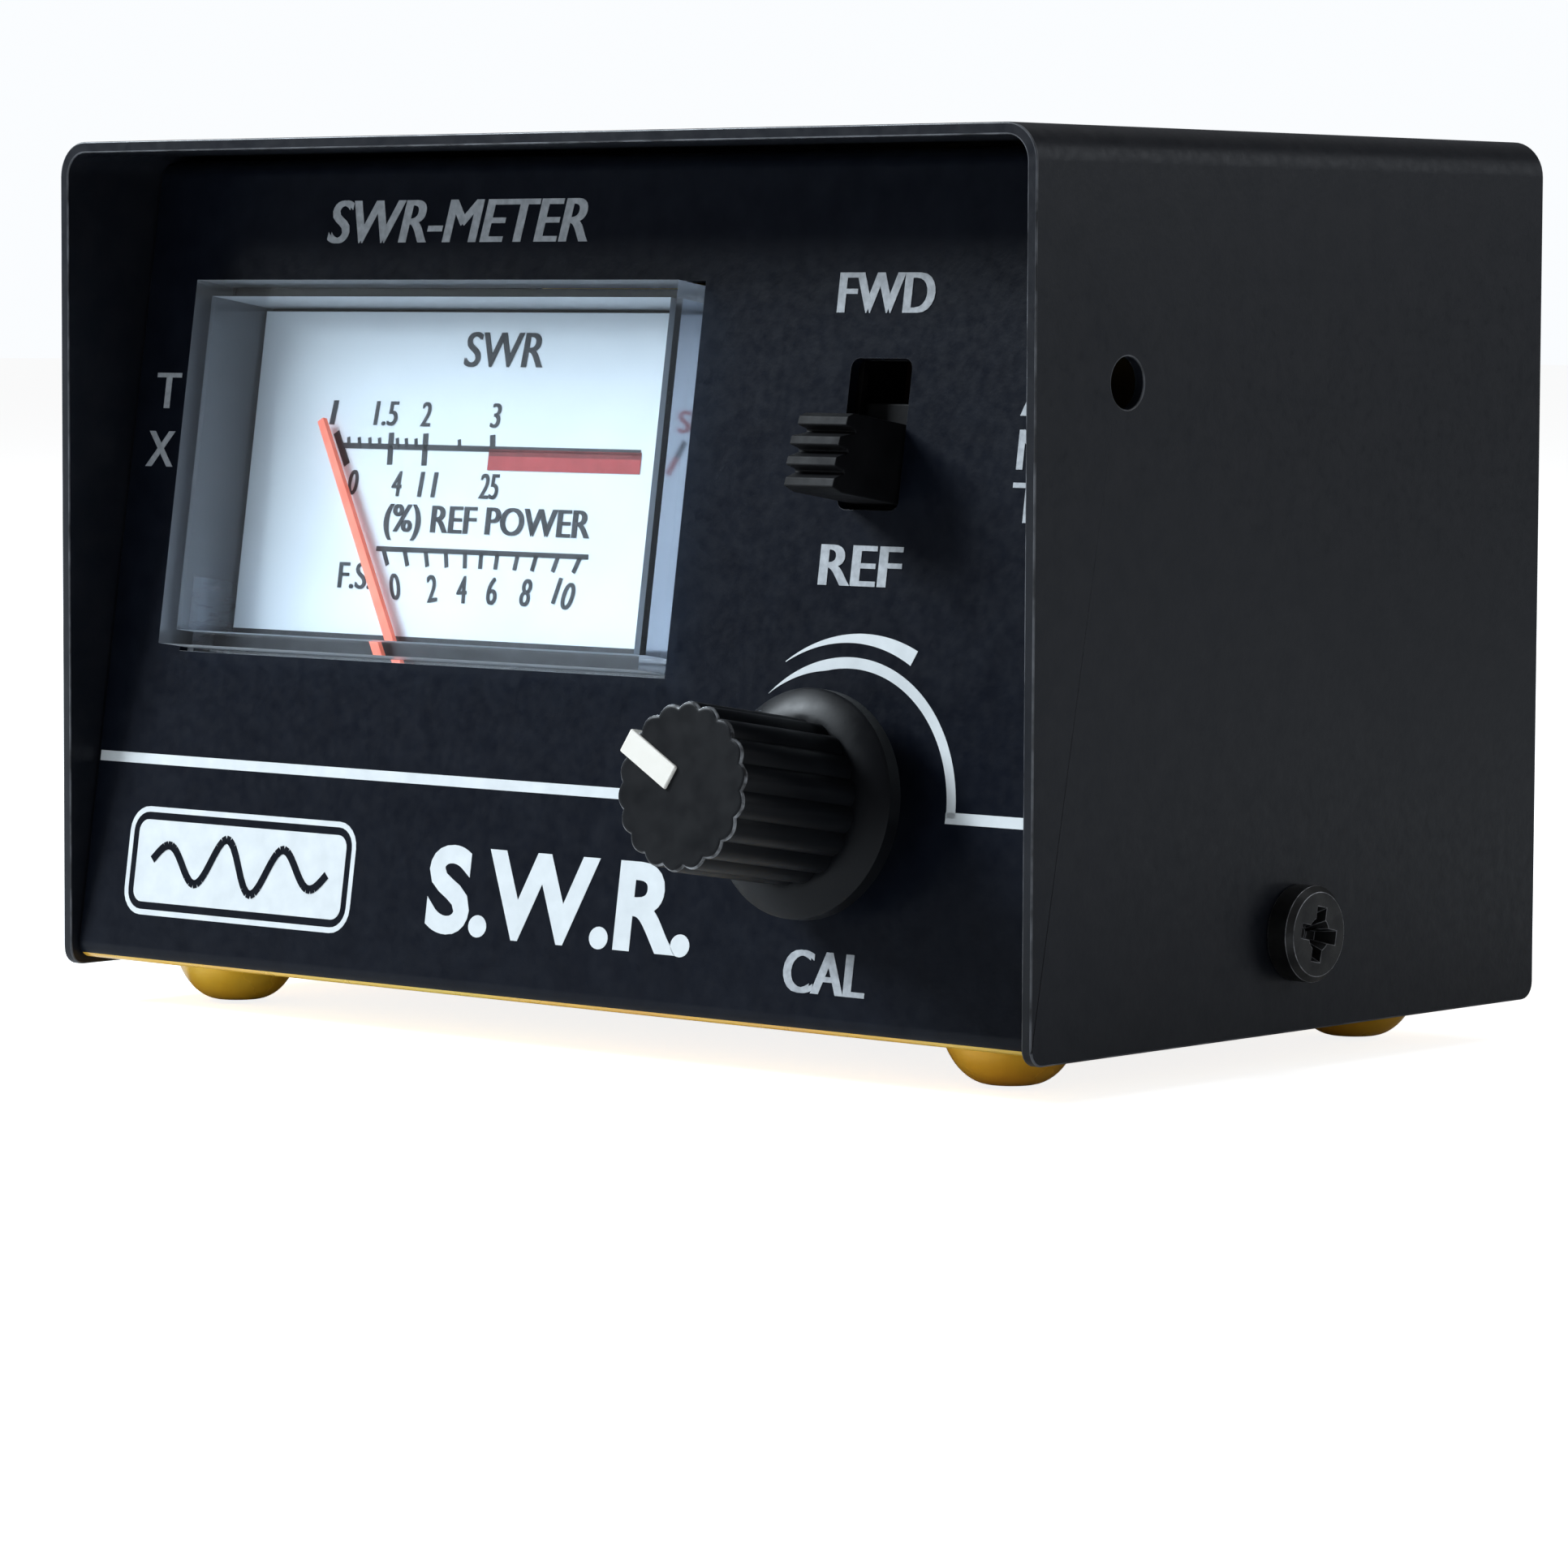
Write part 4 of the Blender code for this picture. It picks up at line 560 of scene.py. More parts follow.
# %% Drilling the cover
SIDE_HOLE_BACK = 9.4    # from the cover's front edge
SIDE_HOLE_UP = 43.5
SIDE_HOLE_RADIUS = 1.7
SCREW_UP = 6.7
SCREW_HOLE_RADIUS = 1.8
DRILL_REACH = 60.0      # one drill goes through both sides
SIDEWAYS = Matrix.Rotation(math.pi / 2, 4, "Y")
hole_at = Vector((0, cover_low.y + SIDE_HOLE_BACK, cover_low.z + SIDE_HOLE_UP)) * MM
screw_at = Vector((0, MID_Y, cover_low.z + SCREW_UP)) * MM
side_drill = loose("side_drill", rod(SIDE_HOLE_RADIUS, -DRILL_REACH, DRILL_REACH, 32),
                   Matrix.Translation(hole_at) @ SIDEWAYS @ IN_WORLD)
screw_drill = loose("screw_drill", rod(SCREW_HOLE_RADIUS, -DRILL_REACH, DRILL_REACH, 24),
                    Matrix.Translation(screw_at) @ SIDEWAYS @ IN_WORLD)
cut(cover, side_drill, screw_drill)
piece(edges(cover, 0.14, 2, finish_at=1), enamel, instead=("cover",))
# slot 1, the faces of the edge bevel: a lighter grey enamel, painted highlight along every edge
cover.data.materials.append(enamel_painted_highlight)

# %% [markdown]
# ## Chassis
# One strip again: a flange, the leaning front, the bottom, the back, and a flange. It is plated all
# over, and the front is painted black down to the lower fold, so a thin bright line stays below it.
# The window, the slot and the holes are cut after the strip has its wall.

# %% Folding the chassis
CHASSIS_BEND = 1.3
FRONT_FLANGE = 8.0
REAR_FLANGE = 6.0
PLATE_UP = cover_low.z + 0.55           # underside of the bottom plate
chassis_top = chassis_high.z
panel_lean = PANEL_UP.y / PANEL_UP.z


def front_y(height):
    """Where the leaning front is, front to back, at a height in millimetres."""
    foot_y, foot_z = panel_place.translation.y / MM, panel_place.translation.z / MM
    return foot_y + (height - foot_z) * panel_lean


chassis_path = [(front_y(chassis_top) + FRONT_FLANGE, chassis_top),
                (front_y(chassis_top), chassis_top), (front_y(PLATE_UP), PLATE_UP),
                (chassis_high.y, PLATE_UP), (chassis_high.y, chassis_top),
                (chassis_high.y - REAR_FLANGE, chassis_top)]
wide = chassis_high.x - chassis_low.x
strip = folded([(chassis_low.x, y, z) for y, z in chassis_path], (wide, 0, 0), CHASSIS_BEND)
chassis = loose("chassis_shell", strip)
walled(chassis, min(chassis.data.polygons, key=lambda face: face.center.z), (0, 0, -1))

# %% Cutting the chassis
WINDOW = (-37.0, 10.2, 23.8, 50.3)      # left, right, sill and top of the meter's window
WINDOW_GAP = 0.3                        # room round the window's moulding
SLOT = (5.3, 10.1, 40.4)                # slot's width, height and middle
BUSH_HOLE = 3.8
SOCKET_HOLE = 5.9
SOCKET_APART = 25.0                     # each socket from the middle of the back
REACH = 3.0                             # how far a cutter goes to both sides of the sheet
window_shape = cuboid((WINDOW[0] - WINDOW_GAP, WINDOW[2] - WINDOW_GAP, -REACH),
                      (WINDOW[1] + WINDOW_GAP, WINDOW[3] + WINDOW_GAP, REACH))
window_cut = loose("window_cut", window_shape, ON_PANEL)
slot_shape = cuboid((CONTROL_X - SLOT[0] / 2, SLOT[2] - SLOT[1] / 2, -REACH),
                    (CONTROL_X + SLOT[0] / 2, SLOT[2] + SLOT[1] / 2, REACH))
round_off(slot_shape, corner_edges(slot_shape, (0, 0, 1)), 0.7, 5)
slot_cut = loose("slot_cut", slot_shape, ON_PANEL)
bush_cut = loose("bush_cut", rod(BUSH_HOLE, -REACH, REACH, 32, (CONTROL_X, KNOB_UP)), ON_PANEL)
rear_cuts = []
for side in (-1, 1):
    drill = rod(SOCKET_HOLE, -REACH, REACH, 32, (side * SOCKET_APART, SOCKET_UP))
    rear_cuts.append(loose("socket_cut", drill, ON_REAR))
cut(chassis, window_cut, slot_cut, bush_cut, *rear_cuts)
print("chassis, cut:", len(chassis.data.polygons), "faces")

# %% The pressed feet
FOOT_INSET = 9.0
FOOT_BASE = 4.5
FOOT_CROWN = 1.5
FOOT_WELD = 0.6         # how far a foot's rim goes into the plate
FOOT_STEPS = 12


def foot_outline():
    """From the plate down to the crown and up to the middle, as a pressed dimple runs."""
    fall = PLATE_UP + SHEET * 0.3
    outside = [(FOOT_BASE + FOOT_WELD, fall), (FOOT_BASE + FOOT_WELD, PLATE_UP - 0.02)]
    for step in range(1, FOOT_STEPS + 1):
        share = step / FOOT_STEPS
        lift = PLATE_UP * (1 - math.sin(share * math.pi / 2)) * (1 - 0.15 * math.sin(share * math.pi))
        outside.append((FOOT_BASE + (FOOT_CROWN - FOOT_BASE) * share ** 1.15, lift))
    return outside + [(0, 0), (0, fall)]


feet = []
for side in (-1, 1):
    for y in (cover_low.y + FOOT_INSET, cover_high.y - FOOT_INSET):
        foot = spun(foot_outline(), 48)
        bmesh.ops.translate(foot, vec=(side * (cover_high.x - FOOT_INSET), y, 0), verts=foot.verts)
        feet.append(loose("foot", foot))
cut(chassis, *feet, operation="UNION")
piece(edges(chassis, 0.1, finish_at=2), zinc, instead=("chassis",))

# %% The painted front
PAINT_EDGE = 1.05       # the paint stops a little way round the lower fold, mm up the panel
PAINT_BACK = -9.5       # and takes in the top flange, but nothing behind it
chassis.data.materials.append(panel_enamel)
# slot 2, the faces of the edge bevel: the same painted highlight, a lighter grey along every edge
chassis.data.materials.append(enamel_painted_highlight)
to_panel = ON_PANEL.inverted()
painted = 0
for face in chassis.data.polygons:
    spot = to_panel @ face.center
    if spot.y > PAINT_EDGE and spot.z > PAINT_BACK:
        face.material_index = 1
        painted += 1
print("painted faces of the front:", painted)

# %% [markdown]
# ## Cover screws
# Pan heads with a cross recess, in black oxide. The head is a spun outline with a broken edge; the
# recess is two crossed wedges and a small cone, because a driver's tip narrows as it goes in. The
# faces of the live bevel get a brighter grey steel, a painted highlight round the rim and the cross.

# %% The screw's head and the arms of its cross
SCREW_HEAD = 3.25
SCREW_HEIGHT = 1.9
SCREW_BREAK = 0.42      # how far the head's edge is broken
ARM_LONG = 2.1
ARM_SHORT = 0.56
ARM_FLOOR = 0.4


def screw_shape():
    head = [(0, SCREW_HEIGHT), (SCREW_HEAD - SCREW_BREAK, SCREW_HEIGHT - 0.04),
            (SCREW_HEAD, SCREW_HEIGHT - SCREW_BREAK), (SCREW_HEAD, 0)]
    return spun(head + [(1.5, 0), (1.5, -6.0), (0, -6.0)], 56)


def wedge(long_half, short_half):
    """One arm of the cross, narrower at its floor."""
    shape = cuboid((-long_half, -short_half, ARM_FLOOR),
                   (long_half, short_half, SCREW_HEIGHT + 0.5))
    bottom = [vert for vert in shape.verts if vert.co.z < ARM_FLOOR + 0.01]
    bmesh.ops.scale(shape, vec=(0.55, 0.7, 1), verts=bottom)
    return shape


def cross_cone():
    """The cone that a driver's tip leaves where the arms meet."""
    shape = bmesh.new()
    bmesh.ops.create_cone(shape, cap_ends=True, segments=20, radius1=0.5, radius2=1.3, depth=2.0,
                          matrix=Matrix.Translation((0, 0, SCREW_HEIGHT - 0.6)))
    return shape


print("screw head, mm:", 2 * SCREW_HEAD, "x", SCREW_HEIGHT)

# %% Making both screws
SCREW_STANDOFF = 0.1    # the head sits this far off the paint
SCREW_TURN = 0.2        # the cross stands a little askew, radians
for side, tag in ((1, "right"), (-1, "left")):
    seat = Vector((side * (cover_high.x + SCREW_STANDOFF), MID_Y, cover_low.z + SCREW_UP)) * MM
    place = (Matrix.Translation(seat) @ Matrix.Rotation(side * math.pi / 2, 4, "Y")
             @ Matrix.Rotation(-SCREW_TURN * side, 4, "Z") @ IN_WORLD)
    screw = loose("screw_" + tag, screw_shape(), place)
    cut(screw, loose("arm_a", wedge(ARM_LONG, ARM_SHORT), place),
        loose("arm_b", wedge(ARM_SHORT, ARM_LONG), place), loose("cone", cross_cone(), place))
    piece(edges(screw, 0.07, 2, 30, finish_at=1), black_oxide,
          instead=("cover_screw_" + tag,), angle=28)
    # slot 1, the faces of the edge bevel: brighter grey steel, a painted highlight round the rim and
    # the cross
    screw.data.materials.append(steel_painted_highlight)

# %% [markdown]
# ## Meter window
# A clear styrene box, open at the back: the window stands out of the panel, and a lower hood stays
# behind it over the movement. Walls a millimetre thick bend what is seen through them, which makes
# some of the bright lines along its edges; the rest are painted highlight, a near-white finish on the
# faces of the edge bevel. Only the front and back of such a moulding are polished: the side walls are
# a little cloudy, the sill and top more so.

# %% Moulding the window
METER_LOW = 4.2         # foot of the hood behind the panel
LENS_BACK = -5.0
LENS_PROUD = 2.4
LENS_WALL = 1.1
LENS_FACE = 1.2         # the polished front is a little thicker than the walls
HOOD_FRONT = -1.1
PAST_BACK = LENS_BACK - 5      # the hollows are cut from well behind the moulding


def moulding(low, high, front, back=LENS_BACK, wall=0.0):
    """A block across the window from low to high up the panel, smaller by a wall."""
    return cuboid((WINDOW[0] + wall, low + wall, back), (WINDOW[1] - wall, high - wall, front))


window = loose("window", moulding(METER_LOW, WINDOW[3], HOOD_FRONT), ON_PANEL)
body = moulding(WINDOW[2], WINDOW[3], LENS_PROUD)
cut(window, loose("window_body", body, ON_PANEL), operation="UNION")
hollow = moulding(WINDOW[2], WINDOW[3], LENS_PROUD - LENS_FACE, PAST_BACK, LENS_WALL)
hood = moulding(METER_LOW, WINDOW[3], HOOD_FRONT - LENS_WALL, PAST_BACK, LENS_WALL)
cut(window, loose("hollow", hollow, ON_PANEL), loose("hood", hood, ON_PANEL))
# painted highlight: the bevel's own faces take slot 3, a near-white styrene, as bright lines along
# every edge
piece(edges(window, 0.18, 2, finish_at=3), clear, instead=("meter_lens",))

# %% The window's duller walls, and the painted highlight on its edges
for styrene_variant in (cloudy, scattering, edge_painted_highlight):
    window.data.materials.append(styrene_variant)
for face in window.data.polygons:
    if abs(face.normal.dot(PANEL_UP)) > 0.9:
        face.material_index = 2
    elif abs(face.normal.dot(PANEL_OUT)) < 0.9:
        face.material_index = 1
print("the window's finishes:", [material.name for material in window.data.materials])

# %% [markdown]
# ## Printed marks
# Silk-screened ink is a skin a few hundredths of a millimetre thick. Letters start as text objects,
# become meshes, and are fitted to a box, which also gives the narrow look of condensed lettering.
# Each is then given its thickness and carried onto the panel or the dial.

# %% Ink
INK = 0.03              # thickness of a printed skin


def skin(shape, base):
    """Gives flat faces in XY the thickness of ink, from base outwards."""
    bmesh.ops.translate(shape, vec=(0, 0, base), verts=shape.verts)
    return drawn_out(shape, list(shape.faces), INK)


def joined(shapes):
    """Several bmeshes gathered into one."""
    whole = bmesh.new()
    for shape in shapes:
        mesh = bpy.data.meshes.new("part")
        shape.to_mesh(mesh)
        shape.free()
        whole.from_mesh(mesh)
        bpy.data.meshes.remove(mesh)
    return whole


def printed(name, shapes, base, material):
    """Several flat shapes as one printed piece on the panel or the dial."""
    made = loose(name, skin(joined(shapes), base), ON_PANEL)
    return piece(made, material)


print("ink, mm:", INK)


# %% Letters
STRIKE_LIFT = 0.006     # the second strike lies on the first, so that their faces don't flicker


def letters(text, slant, swell):
    """Blender's own letters as a flat bmesh. swell grows their outlines."""
    curve = bpy.data.curves.new("words", "FONT")
    curve.body = text
    curve.size = 1.0
    curve.offset = swell
    curve.shear = slant
    curve.resolution_u = 5
    curve.fill_mode = "FRONT"
    holder = bpy.data.objects.new("words", curve)
    bpy.context.scene.collection.objects.link(holder)
    mesh = shown_mesh(holder)
    bpy.data.objects.remove(holder, do_unlink=True)
    shape = bmesh.new()
    shape.from_mesh(mesh)
    bmesh.ops.remove_doubles(shape, verts=shape.verts, dist=0.0004)
    return shape


def words(text, box, bold=0.0, slant=0.0, turn=0.0, swell=0.0):
    """Letters fitted to a box (left, right, low, high) in millimetres, as flat faces.

    bold is how far a second strike of the same letters is moved aside, in millimetres, and swell
    how far their outlines grow, as a share of the letters' height."""
    left, right_edge, bottom, head = box
    if bold:
        strikes = []
        for share in (0, 1):
            struck = (left + bold * share, right_edge - bold * (1 - share), bottom, head)
            strike = words(text, struck, 0.0, slant, turn)
            bmesh.ops.translate(strike, vec=(0, 0, STRIKE_LIFT * share), verts=strike.verts)
            strikes.append(strike)
        return joined(strikes)
    shape = letters(text, slant, swell)
    low = Vector([min(vert.co[axis] for vert in shape.verts) for axis in (0, 1)])
    high = Vector([max(vert.co[axis] for vert in shape.verts) for axis in (0, 1)])
    size = ((right_edge - left) / (high.x - low.x), (head - bottom) / (high.y - low.y))
    middle = ((left + right_edge) / 2, (bottom + head) / 2, 0)
    bmesh.ops.translate(shape, vec=(*(-(low + high) / 2), 0), verts=shape.verts)
    bmesh.ops.scale(shape, vec=(*size, 1), verts=shape.verts)
    bmesh.ops.rotate(shape, matrix=Matrix.Rotation(turn, 3, "Z"), verts=shape.verts)
    bmesh.ops.translate(shape, vec=middle, verts=shape.verts)
    return shape


print("a letter O has", len(letters("O", 0.0, 0.0).faces), "faces")


# %% Lines and bands
def bar(start, end, width):
    """A straight printed line between two points."""
    start, end = Vector(start), Vector(end)
    run = end - start
    shape = bmesh.new()
    turn = Matrix.Rotation(math.atan2(run.y, run.x), 4, "Z")
    middle = Matrix.Translation((*((start + end) / 2), 0))
    bmesh.ops.create_grid(shape, x_segments=1, y_segments=1, size=0.5,
                          matrix=middle @ turn @ Matrix.Diagonal((run.length, width, 1, 1)))
    return shape


def arc(centre, inner, outer, start, end, steps=48):
    """A band between two radii, turned from start to end in degrees."""
    shape = bmesh.new()
    first = Matrix.Rotation(math.radians(start), 3, "Z")
    pair = [shape.verts.new(first @ Vector((reach, 0, 0))) for reach in (inner, outer)]
    line = shape.edges.new(pair)
    bmesh.ops.spin(shape, geom=pair + [line], cent=(0, 0, 0), axis=(0, 0, 1),
                   angle=math.radians(end - start), steps=steps)
    bmesh.ops.translate(shape, vec=(*centre, 0), verts=shape.verts)
    return shape


print("a quarter arc has", len(arc((0, 0), 1, 2, 0, 90).faces), "faces")

# %% [markdown]
# ## Panel print
# Grey-white legends, a rule that runs across the panel and climbs round the knob, and a crescent
# that grows to show which way to turn. The badge at the lower left is a plain plate with a sine
# wave, which any maker of radio gear might use.

# %% Printing the panel's legends
PANEL_INK = 0.005       # the ink starts this far off the paint
LEGENDS = {
    "panel_title": [("SWR-METER", (-26.5, -0.9, 53.3, 56.4), 0.3, 0.16)],
    "tx_legend": [("T", (-42.7, -40.1, 41.2, 43.8), 0.2), ("X", (-43.0, -40.1, 36.9, 39.5), 0.2)],
    "ant_legend": [("A", (39.1, 41.9, 41.8, 44.4), 0.2), ("N", (39.2, 41.7, 38.3, 40.9), 0.2),
                   ("T", (39.1, 41.9, 34.85, 37.45), 0.2)],
    "switch_legend": [("FWD", (22.5, 30.9, 48.45, 51.15), 0.32),
                      ("REF", (23.3, 30.45, 30.3, 33.0), 0.32)],
    "knob_legend": [("CAL", (23.8, 31.0, 3.3, 6.15), 0.32)],
}
for name, lines in LEGENDS.items():
    printed(name, [words(*line) for line in lines], PANEL_INK, panel_ink)

# %% The rule that climbs round the knob
RULE = 0.75             # width of the line
RULE_UP = 15.5
ARC_CENTRE = (26.9, 15.4)
ARC_INNER = 9.45
ARC_OUTER = ARC_INNER + RULE
ARC_START = 132.6       # degrees, where the arc starts as a point
ARC_END = 0.6
TAPER = 30.0            # degrees over which it grows to its full width


def moved_to(vert, distance):
    """Moves a vertex in or out along its own ray from the arc's centre."""
    reach = vert.co.xy - Vector(ARC_CENTRE)
    vert.co.xy = Vector(ARC_CENTRE) + reach.normalized() * distance


def turned(vert):
    """A vertex's direction from the arc's centre in degrees, and its distance."""
    reach = vert.co.xy - Vector(ARC_CENTRE)
    return math.degrees(math.atan2(reach.y, reach.x)), reach.length


band = arc(ARC_CENTRE, ARC_INNER, ARC_OUTER, ARC_START, ARC_END, 64)
for vert in band.verts:
    angle, distance = turned(vert)
    share = (ARC_START - angle) / TAPER
    if share < 1 and distance < (ARC_INNER + ARC_OUTER) / 2:
        moved_to(vert, ARC_OUTER - RULE * max(share, 0.02))
rule = [bar((-44.4, RULE_UP), (16.2, RULE_UP), RULE), bar((36.3, RULE_UP), (44.4, RULE_UP), RULE),
        band]
printed("panel_rule", rule, PANEL_INK, bright_ink)

# %% The crescent
CRESCENT_START = 120.4
CRESCENT_END = 62.4
crescent = arc(ARC_CENTRE, 10.9, 12.0, CRESCENT_START, CRESCENT_END, 40)
for vert in crescent.verts:
    angle, distance = turned(vert)
    share = (CRESCENT_START - angle) / (CRESCENT_START - CRESCENT_END)
    moved_to(vert, 11.25 + 0.95 * share if distance > 11.4 else 11.2 - 0.1 * share)
printed("turn_crescent", [crescent], PANEL_INK, bright_ink)

# %% A plain badge
BADGE = (-39.4, 5.1, -18.0, 11.1)       # left, low, right, high
BADGE_CORNER = 0.9
FRAME_OUTER = 0.95      # the frame runs round the plate between these two
FRAME_INNER = 0.55


def badge_shape(grow):
    """The badge's plate, grown all round."""
    left, bottom, right_edge, head = BADGE
    shape = cuboid((left - grow, bottom - grow, PANEL_INK),
                   (right_edge + grow, head + grow, PANEL_INK + INK))
    return round_off(shape, corner_edges(shape, (0, 0, 1)), BADGE_CORNER + grow, 6)


piece(loose("badge_plate", badge_shape(0.0), ON_PANEL), bright_ink)
frame_ring = loose("badge_frame", badge_shape(FRAME_OUTER), ON_PANEL)
inside = badge_shape(FRAME_INNER)
bmesh.ops.scale(inside, vec=(1, 1, 40), verts=inside.verts)         # much thicker than the ink
bmesh.ops.translate(inside, vec=(0, 0, -0.5), verts=inside.verts)   # so it passes right through
cut(frame_ring, loose("badge_gap", inside, ON_PANEL))
piece(frame_ring, bright_ink)

# %% The badge's wave and the large lettering
WAVE_STEPS = 48
WAVE_LEFT = -37.7
WAVE_LONG = 18.0
WAVE_UP = 8.2
WAVE_SWING = 2.1
WAVE_TURNS = 3
WAVE_LINE = 0.6


def wave_point(share):
    """A point of the sine wave, whose swing is largest in the middle."""
    swing = WAVE_SWING * (1 - abs(2 * share - 1) * 0.55)
    return WAVE_LEFT + WAVE_LONG * share, WAVE_UP + swing * math.sin(share * WAVE_TURNS * math.tau)


wave_bars = [bar(wave_point(step / WAVE_STEPS), wave_point((step + 1) / WAVE_STEPS), WAVE_LINE)
             for step in range(WAVE_STEPS)]
wave = skin(joined(wave_bars), PANEL_INK + INK)
piece(loose("badge_wave", wave, ON_PANEL), panel_enamel)
printed("large_lettering", [words("S.W.R.", (-9.6, 15.3, 4.85, 11.1), swell=0.035)], PANEL_INK,
        bright_ink)

# %% [markdown]
# ## Dial print
# Two scales on a white plate: standing wave ratio above with its red overload band, and relative
# power below. The ticks lean outwards as if they were rays from the needle's axis. A black band,
# painted shade, runs along the foot of the dial where the window's sill meets it, so that the dial's
# lower edge and the sill look dark.

# %% The upper scale
DIAL_FACE = -4.1
DIAL_INK = DIAL_FACE + 0.004
SCALE_UP = 39.2
STRIKE = 0.12           # how far the small figures are thickened
LEAN = 0.1
black = [bar((-26.2, SCALE_UP), (2.9, SCALE_UP), 0.4), bar((-27.06, 40.14), (-25.63, 37.81), 0.6)]
for across, low, high in ((-21.4, 37.9, 40.2), (-17.95, 37.9, 40.2), (-11.35, 39.2, 40.2)):
    black.append(bar((across - 0.06, high), (across + 0.06, low), 0.5))
for across in (-25.64, -24.56, -23.49, -22.51, -20.71, -19.81, -18.84, -14.53):
    black.append(bar((across, SCALE_UP), (across - 0.12, SCALE_UP + 0.62), 0.3))
black.append(bar((5.83, 40.12), (5.2, 39.0), 0.45))
RATIO_ROW = (40.7, 42.45)
POWER_ROW = (35.65, 37.45)
UPPER_FIGURES = (("1", -27.5, RATIO_ROW), ("1.5", -22.2, RATIO_ROW), ("2", -18.2, RATIO_ROW),
                 ("3", -11.3, RATIO_ROW), ("0", -24.8, POWER_ROW), ("4", -20.4, POWER_ROW),
                 ("11", -17.3, POWER_ROW), ("25", -11.25, POWER_ROW))
for text, middle, row in UPPER_FIGURES:
    half = {1: 0.5, 2: 0.95, 3: 1.2}[len(text)] * (0.75 if text == "1" else 1)
    black.append(words(text, (middle - half, middle + half, *row), STRIKE, LEAN))
black.append(words("SWR", (-15.0, -7.3, 45.0, 47.5), 0.16, LEAN))
black.append(words("(%) REF POWER", (-21.3, -1.1, 32.5, 35.1), 0.2))
print("upper scale:", len(black), "marks")

# %% The lower scale
LOWER_UP = 31.85
LOWER_ROW = (28.2, 30.15)
TICK = 1.15
NEEDLE_AXIS = (-10.9, 12.2)             # the ticks point away from here
black.append(bar((-21.75, LOWER_UP), (-1.0, LOWER_UP), 0.36))
for across in (-21.06, -18.94, -16.83, -14.81, -12.9, -11.31, -9.73, -7.76, -5.96, -3.85, -1.75):
    lean = (across - NEEDLE_AXIS[0]) / (LOWER_UP - NEEDLE_AXIS[1])
    black.append(bar((across, LOWER_UP), (across - lean * TICK, LOWER_UP - TICK), 0.36))
for text, middle, turn in (("0", -19.5, 0.3), ("2", -15.8, 0.16), ("4", -12.85, 0.05),
                           ("6", -9.9, 0.0), ("8", -6.6, -0.14), ("10", -2.9, -0.3)):
    half = 0.95 if len(text) == 2 else 0.5
    black.append(words(text, (middle - half, middle + half, *LOWER_ROW), STRIKE, 0.0, turn))
black.append(words("F.S.", (-25.3, -21.9, 28.9, 30.8), STRIKE))
print("both scales:", len(black), "marks")

# %% The painted-shade band at the dial's foot, the red band and the SET mark
# painted shade: a black band along the dial's foot, printed with the other black marks, darkens the
# dial's lower edge and the sill
black.append(bar((-35.6, 23.3), (9.0, 23.3), 4.7))
set_mark = [words("SET", (5.0, 9.0, 40.7, 42.25), 0.14), bar((5.2, 39.0), (4.5, 37.79), 0.45)]
printed("dial_black_print", black, DIAL_INK, dial_black)
printed("dial_red_band", [bar((-11.6, 38.2), (3.0, 38.2), 1.0)], DIAL_INK, dial_red)
printed("dial_dark_band", [bar((-11.6, 38.95), (3.0, 38.95), 0.5)], DIAL_INK, dial_dark_red)
printed("dial_set_print", set_mark, DIAL_INK, dial_red)

# %% [markdown]
# ## Knob
# A fluted body on a thin coned skirt. A circle's points are pulled in between the ridges, the face is
# drawn out to the knob's length, and its rim is rounded so that each ridge catches the light. The
# bore behind it clears the nut, the bushing and the shaft, as the CAD solid's does. The rim's faces
# get a mottled grey finish of their own, a painted highlight.

# %% Fluting the knob
KNOB_BACK = 2.4
KNOB_FACE = 15.35
KNOB_RADIUS = 5.5
FLUTES = 18
FLUTE_DEPTH = 0.34
SKIRT = 7.6             # radius


def fluted(radius, low, high):
    """A ridged cylinder with a rounded rim and a flat face."""
    shape = bmesh.new()
    bmesh.ops.create_circle(shape, cap_ends=True, segments=FLUTES * 10, radius=radius)
    for vert in shape.verts:
        angle = math.atan2(vert.co.y, vert.co.x)
        wave = abs(math.sin(FLUTES * angle / 2)) ** 0.9
        vert.co.xy = vert.co.xy.normalized() * (radius - FLUTE_DEPTH * (1 - wave))
    bmesh.ops.translate(shape, vec=(0, 0, low), verts=shape.verts)
    drawn_out(shape, list(shape.faces), high - low)
    rim = [edge for edge in shape.edges if all(vert.co.z > high - 0.01 for vert in edge.verts)]
    round_off(shape, rim, 0.22, 3)
    shape.faces.ensure_lookup_table()
    front = max(shape.faces, key=lambda face: face.calc_area() if face.normal.z > 0.9 else 0)
    bmesh.ops.inset_region(shape, faces=[front], thickness=0.12)
    return shape


knob_place = ON_PANEL @ Matrix.Translation((CONTROL_X, KNOB_UP, 0))
knob = loose("knob_body", fluted(KNOB_RADIUS, KNOB_BACK + 1.0, KNOB_FACE), knob_place)
print("fluted body:", len(knob.data.polygons), "faces")

# %% The knob's skirt and bore
skirt_outline = [(0, KNOB_BACK + 2.1), (KNOB_RADIUS + 0.35, KNOB_BACK + 2.1),
                 (SKIRT - 0.15, KNOB_BACK + 1.32), (SKIRT, KNOB_BACK + 1.15),
                 (SKIRT, KNOB_BACK + 0.1), (SKIRT - 0.1, KNOB_BACK), (0, KNOB_BACK)]
bore = [(0, 13.1), (2.6, 13.1), (2.6, 4.8), (3.8, 4.8), (3.8, 3.2), (6.1, 3.2), (6.1, 1.4), (0, 1.4)]
cut(knob, loose("skirt", spun(skirt_outline, 96), knob_place), operation="UNION")
cut(knob, loose("bore", spun(bore, 48), knob_place))
piece(knob, knob_black, "control", ("knob",), angle=35)

